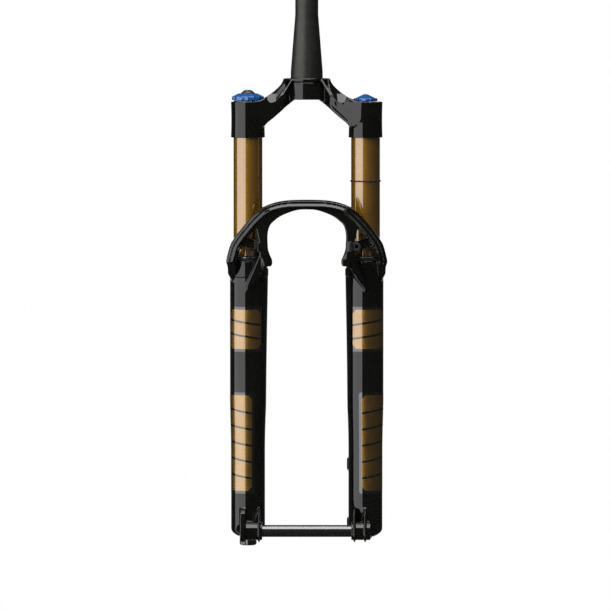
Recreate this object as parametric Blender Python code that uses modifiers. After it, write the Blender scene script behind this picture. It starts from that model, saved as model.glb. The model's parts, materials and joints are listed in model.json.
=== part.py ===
"""A single-crown bicycle suspension fork, 140 mm of travel, as one object for each separate piece.

Metres, +Z up the steerer, the fork's front towards -Y, the rider's right towards -X.
The origin is on the flat of the crown race seat, straight ahead of the steerer's axis.
"""

from math import cos, pi, radians, sin

import bmesh
import bpy
from mathutils import Matrix

# The frame: where the axes of the fork lie.
STEERER_Y = 0.0235
CROWN_OFFSET = 0.020
DROPOUT_OFFSET = 0.024
LEG_X = 0.07275
LEG_Y = STEERER_Y - CROWN_OFFSET
AXLE_Y = LEG_Y - DROPOUT_OFFSET
AXLE_Z = -0.560
HUB_HALF_WIDTH = 0.055

# Clearances between pieces.
GAP = 0.0003
SLIDE_GAP = 0.0002

# The steerer, tapered from 1.5 inch to 1 1/8 inch.
STEERER_TOP_Z = 0.265
STEERER_R = 0.0143
RACE_R = 0.0199
RACE_TOP_Z = 0.007
TAPER_TOP_Z = 0.078

# The crown.
CROWN_TOP_Z = 0.0
CROWN_BOTTOM_Z = -0.0273
SOCKET_R = 0.0213
SOCKET_TOP_Z = -0.0289
SOCKET_BOTTOM_Z = -0.0737
DIAL_ROOM_R = 0.0204

# The upper tubes.
TUBE_R = 0.0180
TUBE_BORE_R = 0.0162
TUBE_TOP_Z = -0.0322
TUBE_BOTTOM_Z = -0.3980

# The caps and dials in the tops of the upper tubes.
DAMPER_CAP_TOP_Z = -0.0278
AIR_CAP_TOP_Z = -0.0291
CAP_FLANGE_R = 0.0179
CAP_FOOT_Z = -0.0472
DIAL_FOOT_Z = -0.0275
DIAL_SCREW_R = 0.0013
VALVE_HOLE_R = 0.0042
SPACER_TOP_Z = (-0.0475, -0.0675)

# The damper and the air spring.
CARTRIDGE_R = 0.0125
CARTRIDGE_BORE_R = 0.0112
CARTRIDGE_TOP_Z = -0.0475
CARTRIDGE_BOTTOM_Z = -0.3720
PISTON_R = 0.0109
SHAFT_R = 0.0050
SHAFT_FOOT_Z = -0.5695
SPRING_TOP_Z = -0.0600
SPRING_BOTTOM_Z = -0.1197
TRAVEL_RING_Z = -0.1273

# The lower legs.
COLLAR_R = 0.02405
COLLAR_TOP_Z = -0.2259
COLLAR_BOTTOM_Z = -0.2450
LEG_TOP_R = 0.0224
LEG_LOW_R = 0.02115
LEG_TAPER_Z = (-0.398, -0.453)
LEG_DOME_Z = -0.558
LEG_BOTTOM_Z = -0.5703
CHANNEL_R = 0.0176
LEG_FLOOR_Z = -0.548
BUSHING_SEAT_R = 0.0198
OIL_BORE_R = 0.0188
BUSHING_LEDGE_Z = -0.372
WIPER_SEAT_R = 0.0215
WIPER_SEAT_Z = -0.244
WIPER_FLANGE_R = 0.0232
WIPER_TOP_Z = -0.2194
FOOT_HOLE_R = 0.0053
FOOT_RECESS_R = 0.0092
FOOT_RECESS_Z = -0.563

# The axle and its seats.
AXLE_R = 0.0075
AXLE_BORE_R = 0.0078
THREAD_R = 0.0066
NUT_R = 0.0093
BOSS_R = 0.0113
BOSS_END_X = 0.079
FLANGE_R = 0.0139
FLANGE_T = 0.0024
INNER_FLANGE_X = 0.0590
OUTER_FLANGE_X = {-1: 0.0770, 1: 0.0720}
RIB_TOP_Z = -0.533

# The rear brake posts, 74.2 mm apart, on the rider's left leg.
POST_X = 0.057
POST_R = 0.0085
POST_FACE_Y = LEG_Y + 0.026
POST_Z = (-0.4785, -0.5527)
POST_HOLE_R = 0.0026

# The bleeder buttons at the rear of the legs and the hose guide on the arch.
BLEEDER_Z = -0.2640
BLEEDER_BOSS_R = 0.0058
BLEEDER_FACE_Y = LEG_Y + 0.0265
ARCH_FACE_Y = LEG_Y - 0.0440
GUIDE_SCREW = (0.0615, -0.2066)
GUIDE_SCREW_R = 0.0020
GUIDE_HOLE_R = 0.0023
GUIDE_EAR_R = 0.0052
GUIDE_T = 0.0030
HOSE_X = 0.0528
HOSE_LOOP_R = 0.0039
HOSE_R = 0.0026

# Facets round a turned piece.
FINE = 28
MEDIUM = 18
SMALL = 12
HEXAGON = 6

# Colour, roughness and metallic value of each finish.
FINISHES = {
    "black_paint": ((0.008, 0.008, 0.007), 0.16, 0.0),
    "black_anodised": ((0.012, 0.012, 0.012), 0.38, 0.6),
    "grey_anodised": ((0.075, 0.073, 0.068), 0.42, 0.8),
    "gold_coating": ((0.42, 0.22, 0.045), 0.22, 1.0),
    "blue_anodised": ((0.005, 0.10, 0.38), 0.25, 0.85),
    "plain_aluminium": ((0.62, 0.62, 0.63), 0.35, 1.0),
    "polished_steel": ((0.55, 0.55, 0.55), 0.18, 1.0),
    "brass": ((0.58, 0.42, 0.16), 0.30, 1.0),
    "black_rubber": ((0.012, 0.012, 0.012), 0.70, 0.0),
    "black_plastic": ((0.016, 0.016, 0.016), 0.45, 0.0),
    "blue_plastic": ((0.02, 0.10, 0.35), 0.50, 0.0),
    "bushing_lining": ((0.20, 0.22, 0.20), 0.55, 0.0),
    "grey_foam": ((0.14, 0.14, 0.14), 0.95, 0.0),
}


def clear_scene():
    for obj in list(bpy.data.objects):
        bpy.data.objects.remove(obj, do_unlink=True)


def new_collection(name):
    collection = bpy.data.collections.new(name)
    bpy.context.scene.collection.children.link(collection)
    return collection


def make_material(name):
    colour, roughness, metallic = FINISHES[name]
    material = bpy.data.materials.new(name)
    material.use_nodes = True
    shader = material.node_tree.nodes["Principled BSDF"]
    shader.inputs["Base Color"].default_value = (*colour, 1.0)
    shader.inputs["Roughness"].default_value = roughness
    shader.inputs["Metallic"].default_value = metallic
    material.diffuse_color = (*colour, 1.0)
    return material


clear_scene()
PARTS = new_collection("suspension_fork")
CUTTERS = new_collection("cutters")
MATERIALS = {name: make_material(name) for name in FINISHES}


# ---------------------------------------------------------------- modelling helpers


def place(obj, finish, location, rotation):
    """Put a piece in the fork's collection, or a shape with no finish among the cutters."""
    obj.location = location
    obj.rotation_euler = rotation
    if finish:
        obj.data.materials.append(MATERIALS[finish])
        PARTS.objects.link(obj)
    else:
        obj.hide_render = True
        obj.display_type = "WIRE"
        CUTTERS.objects.link(obj)
    return obj


def turned(name, finish, profile, steps, location=(0, 0, 0), rotation=(0, 0, 0), ring=True):
    """A turned piece. The profile is (radius, height) points, down the outer side and,
    for a ring, back up the bore. Without ring it runs from axis to axis."""
    mesh = bpy.data.meshes.new(name)
    count = len(profile)
    edges = [(i, (i + 1) % count) for i in range(count if ring else count - 1)]
    mesh.from_pydata([(r, 0, z) for r, z in profile], edges, [])
    obj = place(bpy.data.objects.new(name, mesh), finish, location, rotation)
    screw = obj.modifiers.new("Screw", "SCREW")
    screw.axis = "Z"
    screw.angle = 2 * pi
    screw.steps = steps
    screw.render_steps = steps
    screw.use_merge_vertices = True
    screw.merge_threshold = 0.00001
    screw.use_smooth_shade = True
    return obj


def sleeve(name, finish, outer_r, bore_r, top, bottom, steps, location, rotation=(0, 0, 0), edge=0.0):
    """A plain ring or tube, with its outer edges chamfered by edge."""
    profile = [(outer_r, bottom), (bore_r, bottom), (bore_r, top), (outer_r, top)]
    if edge:
        profile = [
            (outer_r - edge, bottom),
            (bore_r, bottom),
            (bore_r, top),
            (outer_r - edge, top),
            (outer_r, top - edge),
            (outer_r, bottom + edge),
        ]
    return turned(name, finish, profile, steps, location, rotation)


def rod(name, finish, radius, top, bottom, steps, location, rotation=(0, 0, 0), edge=0.0):
    """A solid round bar, with chamfered ends if edge is given."""
    profile = [(0, top), (radius, top), (radius, bottom), (0, bottom)]
    if edge:
        profile = [
            (0, top),
            (radius - edge, top),
            (radius, top - edge),
            (radius, bottom + edge),
            (radius - edge, bottom),
            (0, bottom),
        ]
    return turned(name, finish, profile, steps, location, rotation, ring=False)


def plate(name, finish, outlines, thickness, location, rotation):
    """A flat outline, with the holes of any further outlines, filled and given a thickness."""
    curve = bpy.data.curves.new(name, "CURVE")
    curve.dimensions = "2D"
    curve.fill_mode = "BOTH"
    curve.extrude = thickness / 2
    for outline in outlines:
        spline = curve.splines.new("POLY")
        spline.points.add(len(outline) - 1)
        for point, (u, v) in zip(spline.points, outline, strict=True):
            point.co = (u, v, 0, 1)
        spline.use_cyclic_u = True
    guide = bpy.data.objects.new(name + "_outline", curve)
    CUTTERS.objects.link(guide)
    bpy.context.view_layer.update()
    graph = bpy.context.evaluated_depsgraph_get()
    mesh = bpy.data.meshes.new_from_object(guide.evaluated_get(graph))
    bpy.data.objects.remove(guide, do_unlink=True)
    shape = bmesh.new()
    shape.from_mesh(mesh)
    bmesh.ops.remove_doubles(shape, verts=shape.verts, dist=0.000001)
    bmesh.ops.recalc_face_normals(shape, faces=shape.faces)
    shape.to_mesh(mesh)
    shape.free()
    mesh.materials.clear()
    return place(bpy.data.objects.new(name, mesh), finish, location, rotation)


FRONT = (pi / 2, 0, 0)  # an outline drawn in (x, z), its thickness along Y
SIDE = (pi / 2, 0, pi / 2)  # an outline drawn in (y, z), its thickness along X
ALONG_X = (0, pi / 2, 0)  # a turned piece whose own top points to +X
ALONG_Y = (-pi / 2, 0, 0)  # a turned piece whose own top points to +Y


def block(name, low, high):
    """A box between two corners, as a shape to join or to cut with."""
    mesh = bpy.data.meshes.new(name)
    shape = bmesh.new()
    bmesh.ops.create_cube(shape, size=1.0)
    size = [b - a for a, b in zip(low, high, strict=True)]
    bmesh.ops.transform(shape, matrix=Matrix.Diagonal((*size, 1.0)), verts=shape.verts)
    shape.to_mesh(mesh)
    shape.free()
    centre = [(a + b) / 2 for a, b in zip(low, high, strict=True)]
    return place(bpy.data.objects.new(name, mesh), None, centre, (0, 0, 0))


def gather(name, shapes):
    """Move shapes into a collection of their own, which one Boolean can then use."""
    group = bpy.data.collections.new(name)
    CUTTERS.children.link(group)
    for obj in shapes:
        CUTTERS.objects.unlink(obj)
        group.objects.link(obj)
    return group


def boolean(obj, operation, other):
    modifier = obj.modifiers.new(operation.title(), "BOOLEAN")
    modifier.operation = operation
    modifier.solver = "EXACT"
    if isinstance(other, bpy.types.Collection):
        modifier.operand_type = "COLLECTION"
        modifier.collection = other
    else:
        modifier.object = other
    return modifier


def arc(centre_u, centre_v, radius, start, end, count):
    """Points on a round stretch of an outline, from one angle to another in degrees."""
    angles = [radians(start + (end - start) * i / (count - 1)) for i in range(count)]
    return [(centre_u + radius * cos(a), centre_v + radius * sin(a)) for a in angles]


def mirrored(half):
    """A closed outline from its +X half, which runs from the top centre to the bottom centre."""
    return half + [(-u, v) for u, v in reversed(half) if u > 0]


def flipped(outline, side):
    return [(side * u, v) for u, v in outline]


# ---------------------------------------------------------------- crown side


def make_steerer():
    profile = [
        (0.0116, STEERER_TOP_Z),
        (STEERER_R, STEERER_TOP_Z),
        (STEERER_R, TAPER_TOP_Z),
        (RACE_R, RACE_TOP_Z),
        (RACE_R, CROWN_BOTTOM_Z + 0.0005),
        (0.0155, CROWN_BOTTOM_Z + 0.0005),
        (0.0155, -0.005),
        (0.0116, 0.070),
    ]
    turned("steerer_tube", "grey_anodised", profile, FINE, (0, STEERER_Y, 0))


def make_crown():
    """The front outline and the plan outline, each a solid, meet in the crown's arms."""
    top_edge = [(0, 0), (0.0282, 0), (0.0297, -0.0020), (0.0309, -0.0043), (0.0331, -0.0068)]
    top_edge += [(0.0380, -0.0117), (0.0443, -0.0167), (0.0520, -0.0217), (0.0600, -0.0262)]
    outer = [(LEG_X, SOCKET_TOP_Z), (LEG_X, SOCKET_BOTTOM_Z)]
    under_edge = [(0.0516, SOCKET_BOTTOM_Z), (0.0509, -0.0610), (0.0490, -0.0555)]
    under_edge += [(0.0405, -0.0482), (0.0236, -0.0330), (0.0145, CROWN_BOTTOM_Z)]
    front = mirrored(top_edge + outer + under_edge + [(0, CROWN_BOTTOM_Z)])
    crown = plate("crown", "black_paint", [front], 0.12, (0, 0, 0), FRONT)
    rear_edge = [(0, 0.0278), (0.0140, 0.0255), (0.0260, 0.0190), (0.0400, 0.0085)]
    rear_edge += [(0.0560, 0.0005), (LEG_X, -CROWN_OFFSET + 0.0200)]
    front_edge = [(LEG_X, -CROWN_OFFSET - 0.0200), (0.0500, -0.0395), (0.0300, -0.0360)]
    front_edge += [(0.0220, -0.0310), (0, -0.0310)]
    outline = mirrored(rear_edge + front_edge)
    plan = plate("crown_plan", None, [outline], 0.2, (0, STEERER_Y, 0), (0, 0, 0))
    boolean(crown, "INTERSECT", plan)
    sockets = [
        rod(
            f"crown_socket_{side}",
            None,
            SOCKET_R,
            SOCKET_TOP_Z,
            SOCKET_BOTTOM_Z,
            FINE,
            (side * LEG_X, LEG_Y, 0),
            edge=0.0008,
        )
        for side in (-1, 1)
    ]
    boolean(crown, "UNION", gather("crown_sockets", sockets))
    bores = [
        rod(f"crown_bore_{side}", None, TUBE_R + GAP, 0.01, -0.1, FINE, (side * LEG_X, LEG_Y, 0))
        for side in (-1, 1)
    ]
    for side in (-1, 1):
        at = (side * LEG_X, LEG_Y, 0)
        bores.append(rod(f"dial_room_{side}", None, DIAL_ROOM_R, 0.02, SOCKET_TOP_Z, FINE, at))
    bores.append(rod("steerer_bore", None, RACE_R + GAP, 0.02, -0.06, FINE, (0, STEERER_Y, 0)))
    boolean(crown, "DIFFERENCE", gather("crown_bores", bores))


def make_upper_tube(name, side):
    at = (side * LEG_X, LEG_Y, 0)
    sleeve(name, "gold_coating", TUBE_R, TUBE_BORE_R, TUBE_TOP_Z, TUBE_BOTTOM_Z, FINE, at)


def make_damper_top():
    at = (-LEG_X, LEG_Y, 0)
    cap_profile = [
        (0.0030, DAMPER_CAP_TOP_Z),
        (CAP_FLANGE_R - 0.0007, DAMPER_CAP_TOP_Z),
        (CAP_FLANGE_R, DAMPER_CAP_TOP_Z - 0.0006),
        (CAP_FLANGE_R, TUBE_TOP_Z + GAP),
        (TUBE_BORE_R - GAP, TUBE_TOP_Z + GAP),
        (TUBE_BORE_R - GAP, CAP_FOOT_Z),
        (0.0030, CAP_FOOT_Z),
    ]
    turned("damper_top_cap", "black_anodised", cap_profile, FINE, at)
    ring_profile = [
        (0.0096, DIAL_FOOT_Z),
        (0.0096, -0.0190),
        (0.0118, -0.0188),
        (0.0186, -0.0221),
        (0.0198, -0.0228),
        (0.0198, -0.0268),
        (0.0192, DIAL_FOOT_Z),
    ]
    turned("high_speed_dial", "blue_anodised", ring_profile, 32, at)
    dial_profile = [
        (0.0016, -0.0149),
        (0.0045, -0.0149),
        (0.00875, -0.0184),
        (0.00875, DIAL_FOOT_Z),
        (0.0016, DIAL_FOOT_Z),
    ]
    turned("low_speed_dial", "grey_anodised", dial_profile, 24, at)
    screw_profile = [(0, -0.0145), (0.0026, -0.0145), (0.0026, -0.0146), (DIAL_SCREW_R, -0.0146)]
    screw_profile += [(DIAL_SCREW_R, -0.0252), (0, -0.0252)]
    turned("dial_screw", "polished_steel", screw_profile, 12, at, ring=False)


def make_air_top():
    at = (LEG_X, LEG_Y, 0)
    cap_profile = [
        (VALVE_HOLE_R, AIR_CAP_TOP_Z),
        (CAP_FLANGE_R - 0.0007, AIR_CAP_TOP_Z),
        (CAP_FLANGE_R, AIR_CAP_TOP_Z - 0.0006),
        (CAP_FLANGE_R, TUBE_TOP_Z + GAP),
        (TUBE_BORE_R - GAP, TUBE_TOP_Z + GAP),
        (TUBE_BORE_R - GAP, CAP_FOOT_Z),
        (VALVE_HOLE_R, CAP_FOOT_Z),
    ]
    turned("air_top_cap", "black_anodised", cap_profile, FINE, at)
    sleeve("valve_stem", "brass", 0.0039, 0.0026, -0.0235, -0.0512, SMALL, at, edge=0.0004)
    rod("valve_core", "polished_steel", 0.0023, -0.0247, -0.0482, SMALL, at, edge=0.0004)
    cover_profile = [
        (0, -0.0197),
        (0.0025, -0.0199),
        (0.0060, -0.0217),
        (0.0110, -0.0240),
        (0.0144, -0.0250),
        (0.0148, -0.0256),
        (0.0148, -0.0282),
        (0.0144, -0.0288),
        (VALVE_HOLE_R, -0.0288),
        (VALVE_HOLE_R, -0.0227),
        (0, -0.0227),
    ]
    turned("valve_cap", "blue_anodised", cover_profile, 24, at, ring=False)
    for number, top in enumerate(SPACER_TOP_Z, 1):
        sleeve(
            f"volume_spacer_{number}",
            "blue_plastic",
            0.0150,
            0.0060,
            top,
            top - 0.0197,
            SMALL,
            at,
            edge=0.0010,
        )


def make_travel_ring():
    """A rubber ring of oval section round the rider's left upper tube."""
    inner = TUBE_R + SLIDE_GAP
    section = [
        (inner + 0.00045 + 0.00045 * cos(a), 0.0010 * sin(a))
        for a in (radians(90 - 60 * i) for i in range(6))
    ]
    turned("travel_ring", "black_rubber", section, FINE, (LEG_X, LEG_Y, TRAVEL_RING_Z))


def make_damper_cartridge():
    at = (-LEG_X, LEG_Y, 0)
    sleeve(
        "damper_cartridge_tube",
        "plain_aluminium",
        CARTRIDGE_R,
        CARTRIDGE_BORE_R,
        CARTRIDGE_TOP_Z,
        CARTRIDGE_BOTTOM_Z,
        MEDIUM,
        at,
    )
    valve_profile = [(0, CARTRIDGE_TOP_Z), (0.0040, CARTRIDGE_TOP_Z), (0.0040, -0.1600)]
    valve_profile += [(PISTON_R, -0.1600), (PISTON_R, -0.1720), (0, -0.1720)]
    turned("base_valve", "plain_aluminium", valve_profile, MEDIUM, at, ring=False)
    sleeve("floating_piston", "black_plastic", PISTON_R, 0.0043, -0.1200, -0.1280, MEDIUM, at)
    sleeve(
        "damper_seal_head",
        "plain_aluminium",
        TUBE_BORE_R - GAP,
        SHAFT_R + GAP,
        CARTRIDGE_BOTTOM_Z - GAP,
        TUBE_BOTTOM_Z + 0.0005,
        MEDIUM,
        at,
        edge=0.0008,
    )


def make_piston_spring():
    """The light coil above the floating piston, a wire wound on a cylinder."""
    coils, wire_r, coil_r, per_coil = 7, 0.0009, 0.0078, 8
    curve = bpy.data.curves.new("floating_piston_spring", "CURVE")
    curve.dimensions = "3D"
    curve.bevel_depth = wire_r
    curve.bevel_resolution = 0
    curve.use_fill_caps = True
    count = coils * per_coil + 1
    spline = curve.splines.new("POLY")
    spline.points.add(count - 1)
    top, bottom = SPRING_TOP_Z - wire_r, SPRING_BOTTOM_Z + wire_r
    for i, point in enumerate(spline.points):
        angle = 2 * pi * i / per_coil
        height = top + (bottom - top) * i / (count - 1)
        point.co = (coil_r * cos(angle), coil_r * sin(angle), height, 1)
    place(
        bpy.data.objects.new("floating_piston_spring", curve),
        "polished_steel",
        (-LEG_X, LEG_Y, 0),
        (0, 0, 0),
    )


def make_air_seals():
    at = (LEG_X, LEG_Y, 0)
    sleeve("top_out_bumper", "black_rubber", 0.0110, SHAFT_R + GAP, -0.3624, -0.3796, SMALL, at)
    sleeve(
        "air_seal_head",
        "black_plastic",
        TUBE_BORE_R - GAP,
        SHAFT_R + GAP,
        -0.3800,
        -0.3940,
        MEDIUM,
        at,
        edge=0.0008,
    )
    ring = sleeve("retaining_ring", "polished_steel", 0.0159, 0.0140, -0.3945, -0.3957, MEDIUM, at)
    low = (LEG_X - 0.003, LEG_Y, -0.3980)
    high = (LEG_X + 0.003, LEG_Y + 0.020, -0.3920)
    boolean(ring, "DIFFERENCE", block("retaining_ring_gap", low, high))


# ---------------------------------------------------------------- lower casting


def leg_profile():
    """One leg's outside, down from the collar to the domed foot."""
    dome_height = LEG_DOME_Z - LEG_BOTTOM_Z
    profile = [
        (0, COLLAR_TOP_Z),
        (COLLAR_R, COLLAR_TOP_Z),
        (COLLAR_R, COLLAR_BOTTOM_Z),
        (LEG_TOP_R, COLLAR_BOTTOM_Z - 0.0010),
        (LEG_TOP_R, LEG_TAPER_Z[0]),
        (LEG_LOW_R, LEG_TAPER_Z[1]),
    ]
    for i in range(4):
        angle = radians(30 * i)
        profile.append((LEG_LOW_R * cos(angle), LEG_DOME_Z - dome_height * sin(angle)))
    profile[-1] = (0, LEG_BOTTOM_Z)
    return profile


def make_channel(side):
    """The rounded channel down the inner rear of a leg, fading out at the leg's taper."""
    name = f"leg_channel_{side}"
    mesh = bpy.data.meshes.new(name)
    shape = bmesh.new()
    rings = []
    for height, inward, rearward in ((-0.2500, 0.0070, 0.0030), (-0.4100, 0.0038, 0.0010)):
        ring = []
        for i in range(24):
            angle = 2 * pi * i / 24
            u = side * (LEG_X - inward) + CHANNEL_R * cos(angle)
            v = LEG_Y + rearward + CHANNEL_R * sin(angle)
            ring.append(shape.verts.new((u, v, height)))
        rings.append(ring)
    shape.faces.new(rings[0])
    shape.faces.new(reversed(rings[1]))
    for i in range(24):
        j = (i + 1) % 24
        shape.faces.new((rings[0][i], rings[1][i], rings[1][j], rings[0][j]))
    bmesh.ops.recalc_face_normals(shape, faces=shape.faces)
    shape.to_mesh(mesh)
    shape.free()
    return place(bpy.data.objects.new(name, mesh), None, (0, 0, 0), (0, 0, 0))


def make_arch():
    """The arch: its front outline as a solid, kept only where its side outline is."""
    crest = [(0, -0.1490), (0.0290, -0.1499), (0.0510, -0.1560), (0.0665, -0.1682)]
    outer_limb = [(0.0803, -0.1843), (0.0893, -0.1961), (0.0944, -0.2046), (0.0980, -0.2170)]
    outer_limb += [(0.0999, -0.2265), (0.0984, -0.2305), (0.0976, -0.2400), (0.0950, -0.2450)]
    outer_limb += [(0.0930, -0.2500)]
    limb_gap = [(0.0896, -0.2470), (0.0853, -0.2170), (0.0800, -0.2100), (0.0727, -0.2086)]
    limb_gap += [(0.0620, -0.2120), (0.0605, -0.2160), (0.0640, -0.2235)]
    tail = [(0.0744, -0.2570), (0.0735, -0.2620), (0.0718, -0.2620), (0.0614, -0.2487)]
    tail += [(0.0544, -0.2330), (0.0481, -0.2250)]
    opening = [(0.0481, -0.1920), (0.0455, -0.1805), (0.0390, -0.1743), (0.0296, -0.1682)]
    opening += [(0.0132, -0.1622), (0, -0.1612)]
    outline = mirrored(crest + outer_limb + limb_gap + tail + opening)
    window = [(0.0630, -0.1862), (0.0727, -0.1948), (0.0600, -0.2008)]
    outlines = [outline, window, flipped(window, -1)]
    arch = plate("arch", None, outlines, 0.060, (0, LEG_Y - 0.025, 0), FRONT)
    side = [(-0.036, -0.1450), (-0.048, -0.1490), (-0.050, -0.1580), (-0.049, -0.1800)]
    side += [(-0.044, -0.1960), (-0.044, -0.2160), (-0.032, -0.2380), (-0.024, -0.2620)]
    side += [(-0.016, -0.2650), (0.000, -0.2550), (0.000, -0.2145), (-0.0245, -0.2141)]
    side += [(-0.0265, -0.1450)]
    keep = plate("arch_side", None, [side], 0.22, (0, LEG_Y, 0), SIDE)
    boolean(arch, "INTERSECT", keep)
    return arch


def make_arch_lug(side):
    """The small lug on the inner side of the collar."""
    outline = [(0.0490, -0.2090), (0.0480, -0.2130), (0.0430, -0.2232), (0.0427, -0.2276)]
    outline += [(0.0438, -0.2305), (0.0480, -0.2322), (0.0540, -0.2322), (0.0540, -0.2090)]
    at = (0, LEG_Y - 0.031, 0)
    return plate(f"arch_lug_{side}", None, [flipped(outline, side)], 0.020, at, FRONT)


def rib_outline():
    """A dropout flange: a disc round the axle with a rib up the leg's front."""
    top = [(LEG_Y - 0.0170, RIB_TOP_Z), (LEG_Y - 0.0205, RIB_TOP_Z + 0.001)]
    disc = arc(AXLE_Y, AXLE_Z, FLANGE_R, -200, -10, 12)
    return top + disc + [(LEG_Y - 0.012, AXLE_Z)]


def make_dropout(side):
    shapes = []
    boss_profile = [
        (0, side * BOSS_END_X),
        (BOSS_R - 0.001, side * BOSS_END_X),
        (BOSS_R, side * (BOSS_END_X - 0.001)),
        (BOSS_R, side * (HUB_HALF_WIDTH + 0.002)),
        (BOSS_R - 0.001, side * HUB_HALF_WIDTH),
        (0, side * HUB_HALF_WIDTH),
    ]
    if side < 0:
        boss_profile.reverse()
    shapes.append(
        turned(
            f"dropout_boss_{side}",
            None,
            boss_profile,
            MEDIUM,
            (0, AXLE_Y, AXLE_Z),
            ALONG_X,
            ring=False,
        )
    )
    for number, x in enumerate((INNER_FLANGE_X, OUTER_FLANGE_X[side])):
        shapes.append(
            plate(
                f"dropout_rib_{side}_{number}",
                None,
                [rib_outline()],
                FLANGE_T,
                (side * x, 0, 0),
                SIDE,
            )
        )
    inner, outer = sorted((side * 0.0600, side * 0.0765))
    shapes.append(
        block(
            f"dropout_block_{side}",
            (inner, AXLE_Y + 0.001, AXLE_Z - 0.0095),
            (outer, LEG_Y - 0.006, AXLE_Z + 0.0105),
        )
    )
    return shapes


def make_brake_posts():
    shapes = []
    for number, height in enumerate(POST_Z):
        shapes.append(
            rod(
                f"brake_post_{number}",
                None,
                POST_R,
                POST_FACE_Y,
                LEG_Y - 0.004,
                MEDIUM,
                (POST_X, 0, height),
                ALONG_Y,
            )
        )
    low = (POST_X - 0.0035, LEG_Y - 0.002, POST_Z[1])
    high = (POST_X + 0.0060, POST_FACE_Y - 0.008, POST_Z[0])
    shapes.append(block("brake_post_web", low, high))
    return shapes


def make_lower_casting():
    casting = turned(
        "lower_casting", "black_paint", leg_profile(), FINE, (-LEG_X, LEG_Y, 0), ring=False
    )
    lumps = [
        turned("left_leg_blank", None, leg_profile(), FINE, (LEG_X, LEG_Y, 0), ring=False),
        make_arch(),
    ]
    cuts = []
    for side in (-1, 1):
        lumps.append(make_channel(side))
        lumps.append(make_arch_lug(side))
        lumps.extend(make_dropout(side))
        at = (side * LEG_X, LEG_Y, 0)
        lumps.append(
            rod(
                f"bleeder_boss_{side}",
                None,
                BLEEDER_BOSS_R,
                BLEEDER_FACE_Y,
                LEG_Y + 0.010,
                SMALL,
                (side * LEG_X, 0, BLEEDER_Z),
                ALONG_Y,
                edge=0.0006,
            )
        )
        bore_profile = [
            (0, -0.2000),
            (WIPER_FLANGE_R + 0.0004, -0.2000),
            (WIPER_FLANGE_R + 0.0004, COLLAR_TOP_Z),
            (WIPER_SEAT_R, COLLAR_TOP_Z),
            (WIPER_SEAT_R, WIPER_SEAT_Z),
            (BUSHING_SEAT_R, WIPER_SEAT_Z),
            (BUSHING_SEAT_R, BUSHING_LEDGE_Z),
            (OIL_BORE_R, BUSHING_LEDGE_Z),
            (OIL_BORE_R, LEG_FLOOR_Z),
            (FOOT_HOLE_R, LEG_FLOOR_Z),
            (FOOT_HOLE_R, FOOT_RECESS_Z),
            (FOOT_RECESS_R, FOOT_RECESS_Z),
            (FOOT_RECESS_R, -0.5800),
            (0, -0.5800),
        ]
        cuts.append(turned(f"leg_bore_{side}", None, bore_profile, FINE, at, ring=False))
        bleeder_profile = [
            (0, BLEEDER_FACE_Y + 0.004),
            (0.0035, BLEEDER_FACE_Y + 0.004),
            (0.0035, LEG_Y + 0.0213),
            (0.0010, LEG_Y + 0.0213),
            (0.0010, LEG_Y + 0.015),
            (0, LEG_Y + 0.015),
        ]
        cuts.append(
            turned(
                f"bleeder_bore_{side}",
                None,
                bleeder_profile,
                SMALL,
                (side * LEG_X, 0, BLEEDER_Z),
                ALONG_Y,
                ring=False,
            )
        )
    lumps.extend(make_brake_posts())
    for number, height in enumerate(POST_Z):
        cuts.append(
            rod(
                f"brake_post_hole_{number}",
                None,
                POST_HOLE_R,
                POST_FACE_Y + 0.004,
                POST_FACE_Y - 0.009,
                SMALL,
                (POST_X, 0, height),
                ALONG_Y,
            )
        )
    at_axle = (0, AXLE_Y, AXLE_Z)
    cuts.append(rod("axle_bore", None, AXLE_BORE_R, 0.100, -0.060, MEDIUM, at_axle, ALONG_X))
    cuts.append(rod("nut_bore", None, NUT_R + GAP, -0.058, -0.100, MEDIUM, at_axle, ALONG_X))
    x, z = GUIDE_SCREW
    cuts.append(
        rod(
            "guide_screw_hole",
            None,
            GUIDE_HOLE_R,
            ARCH_FACE_Y + 0.0090,
            ARCH_FACE_Y - 0.010,
            SMALL,
            (x, 0, z),
            ALONG_Y,
        )
    )
    boolean(casting, "UNION", gather("casting_lumps", lumps))
    boolean(casting, "DIFFERENCE", gather("casting_cuts", cuts))


# ---------------------------------------------------------------- pieces in the lower legs


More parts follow.
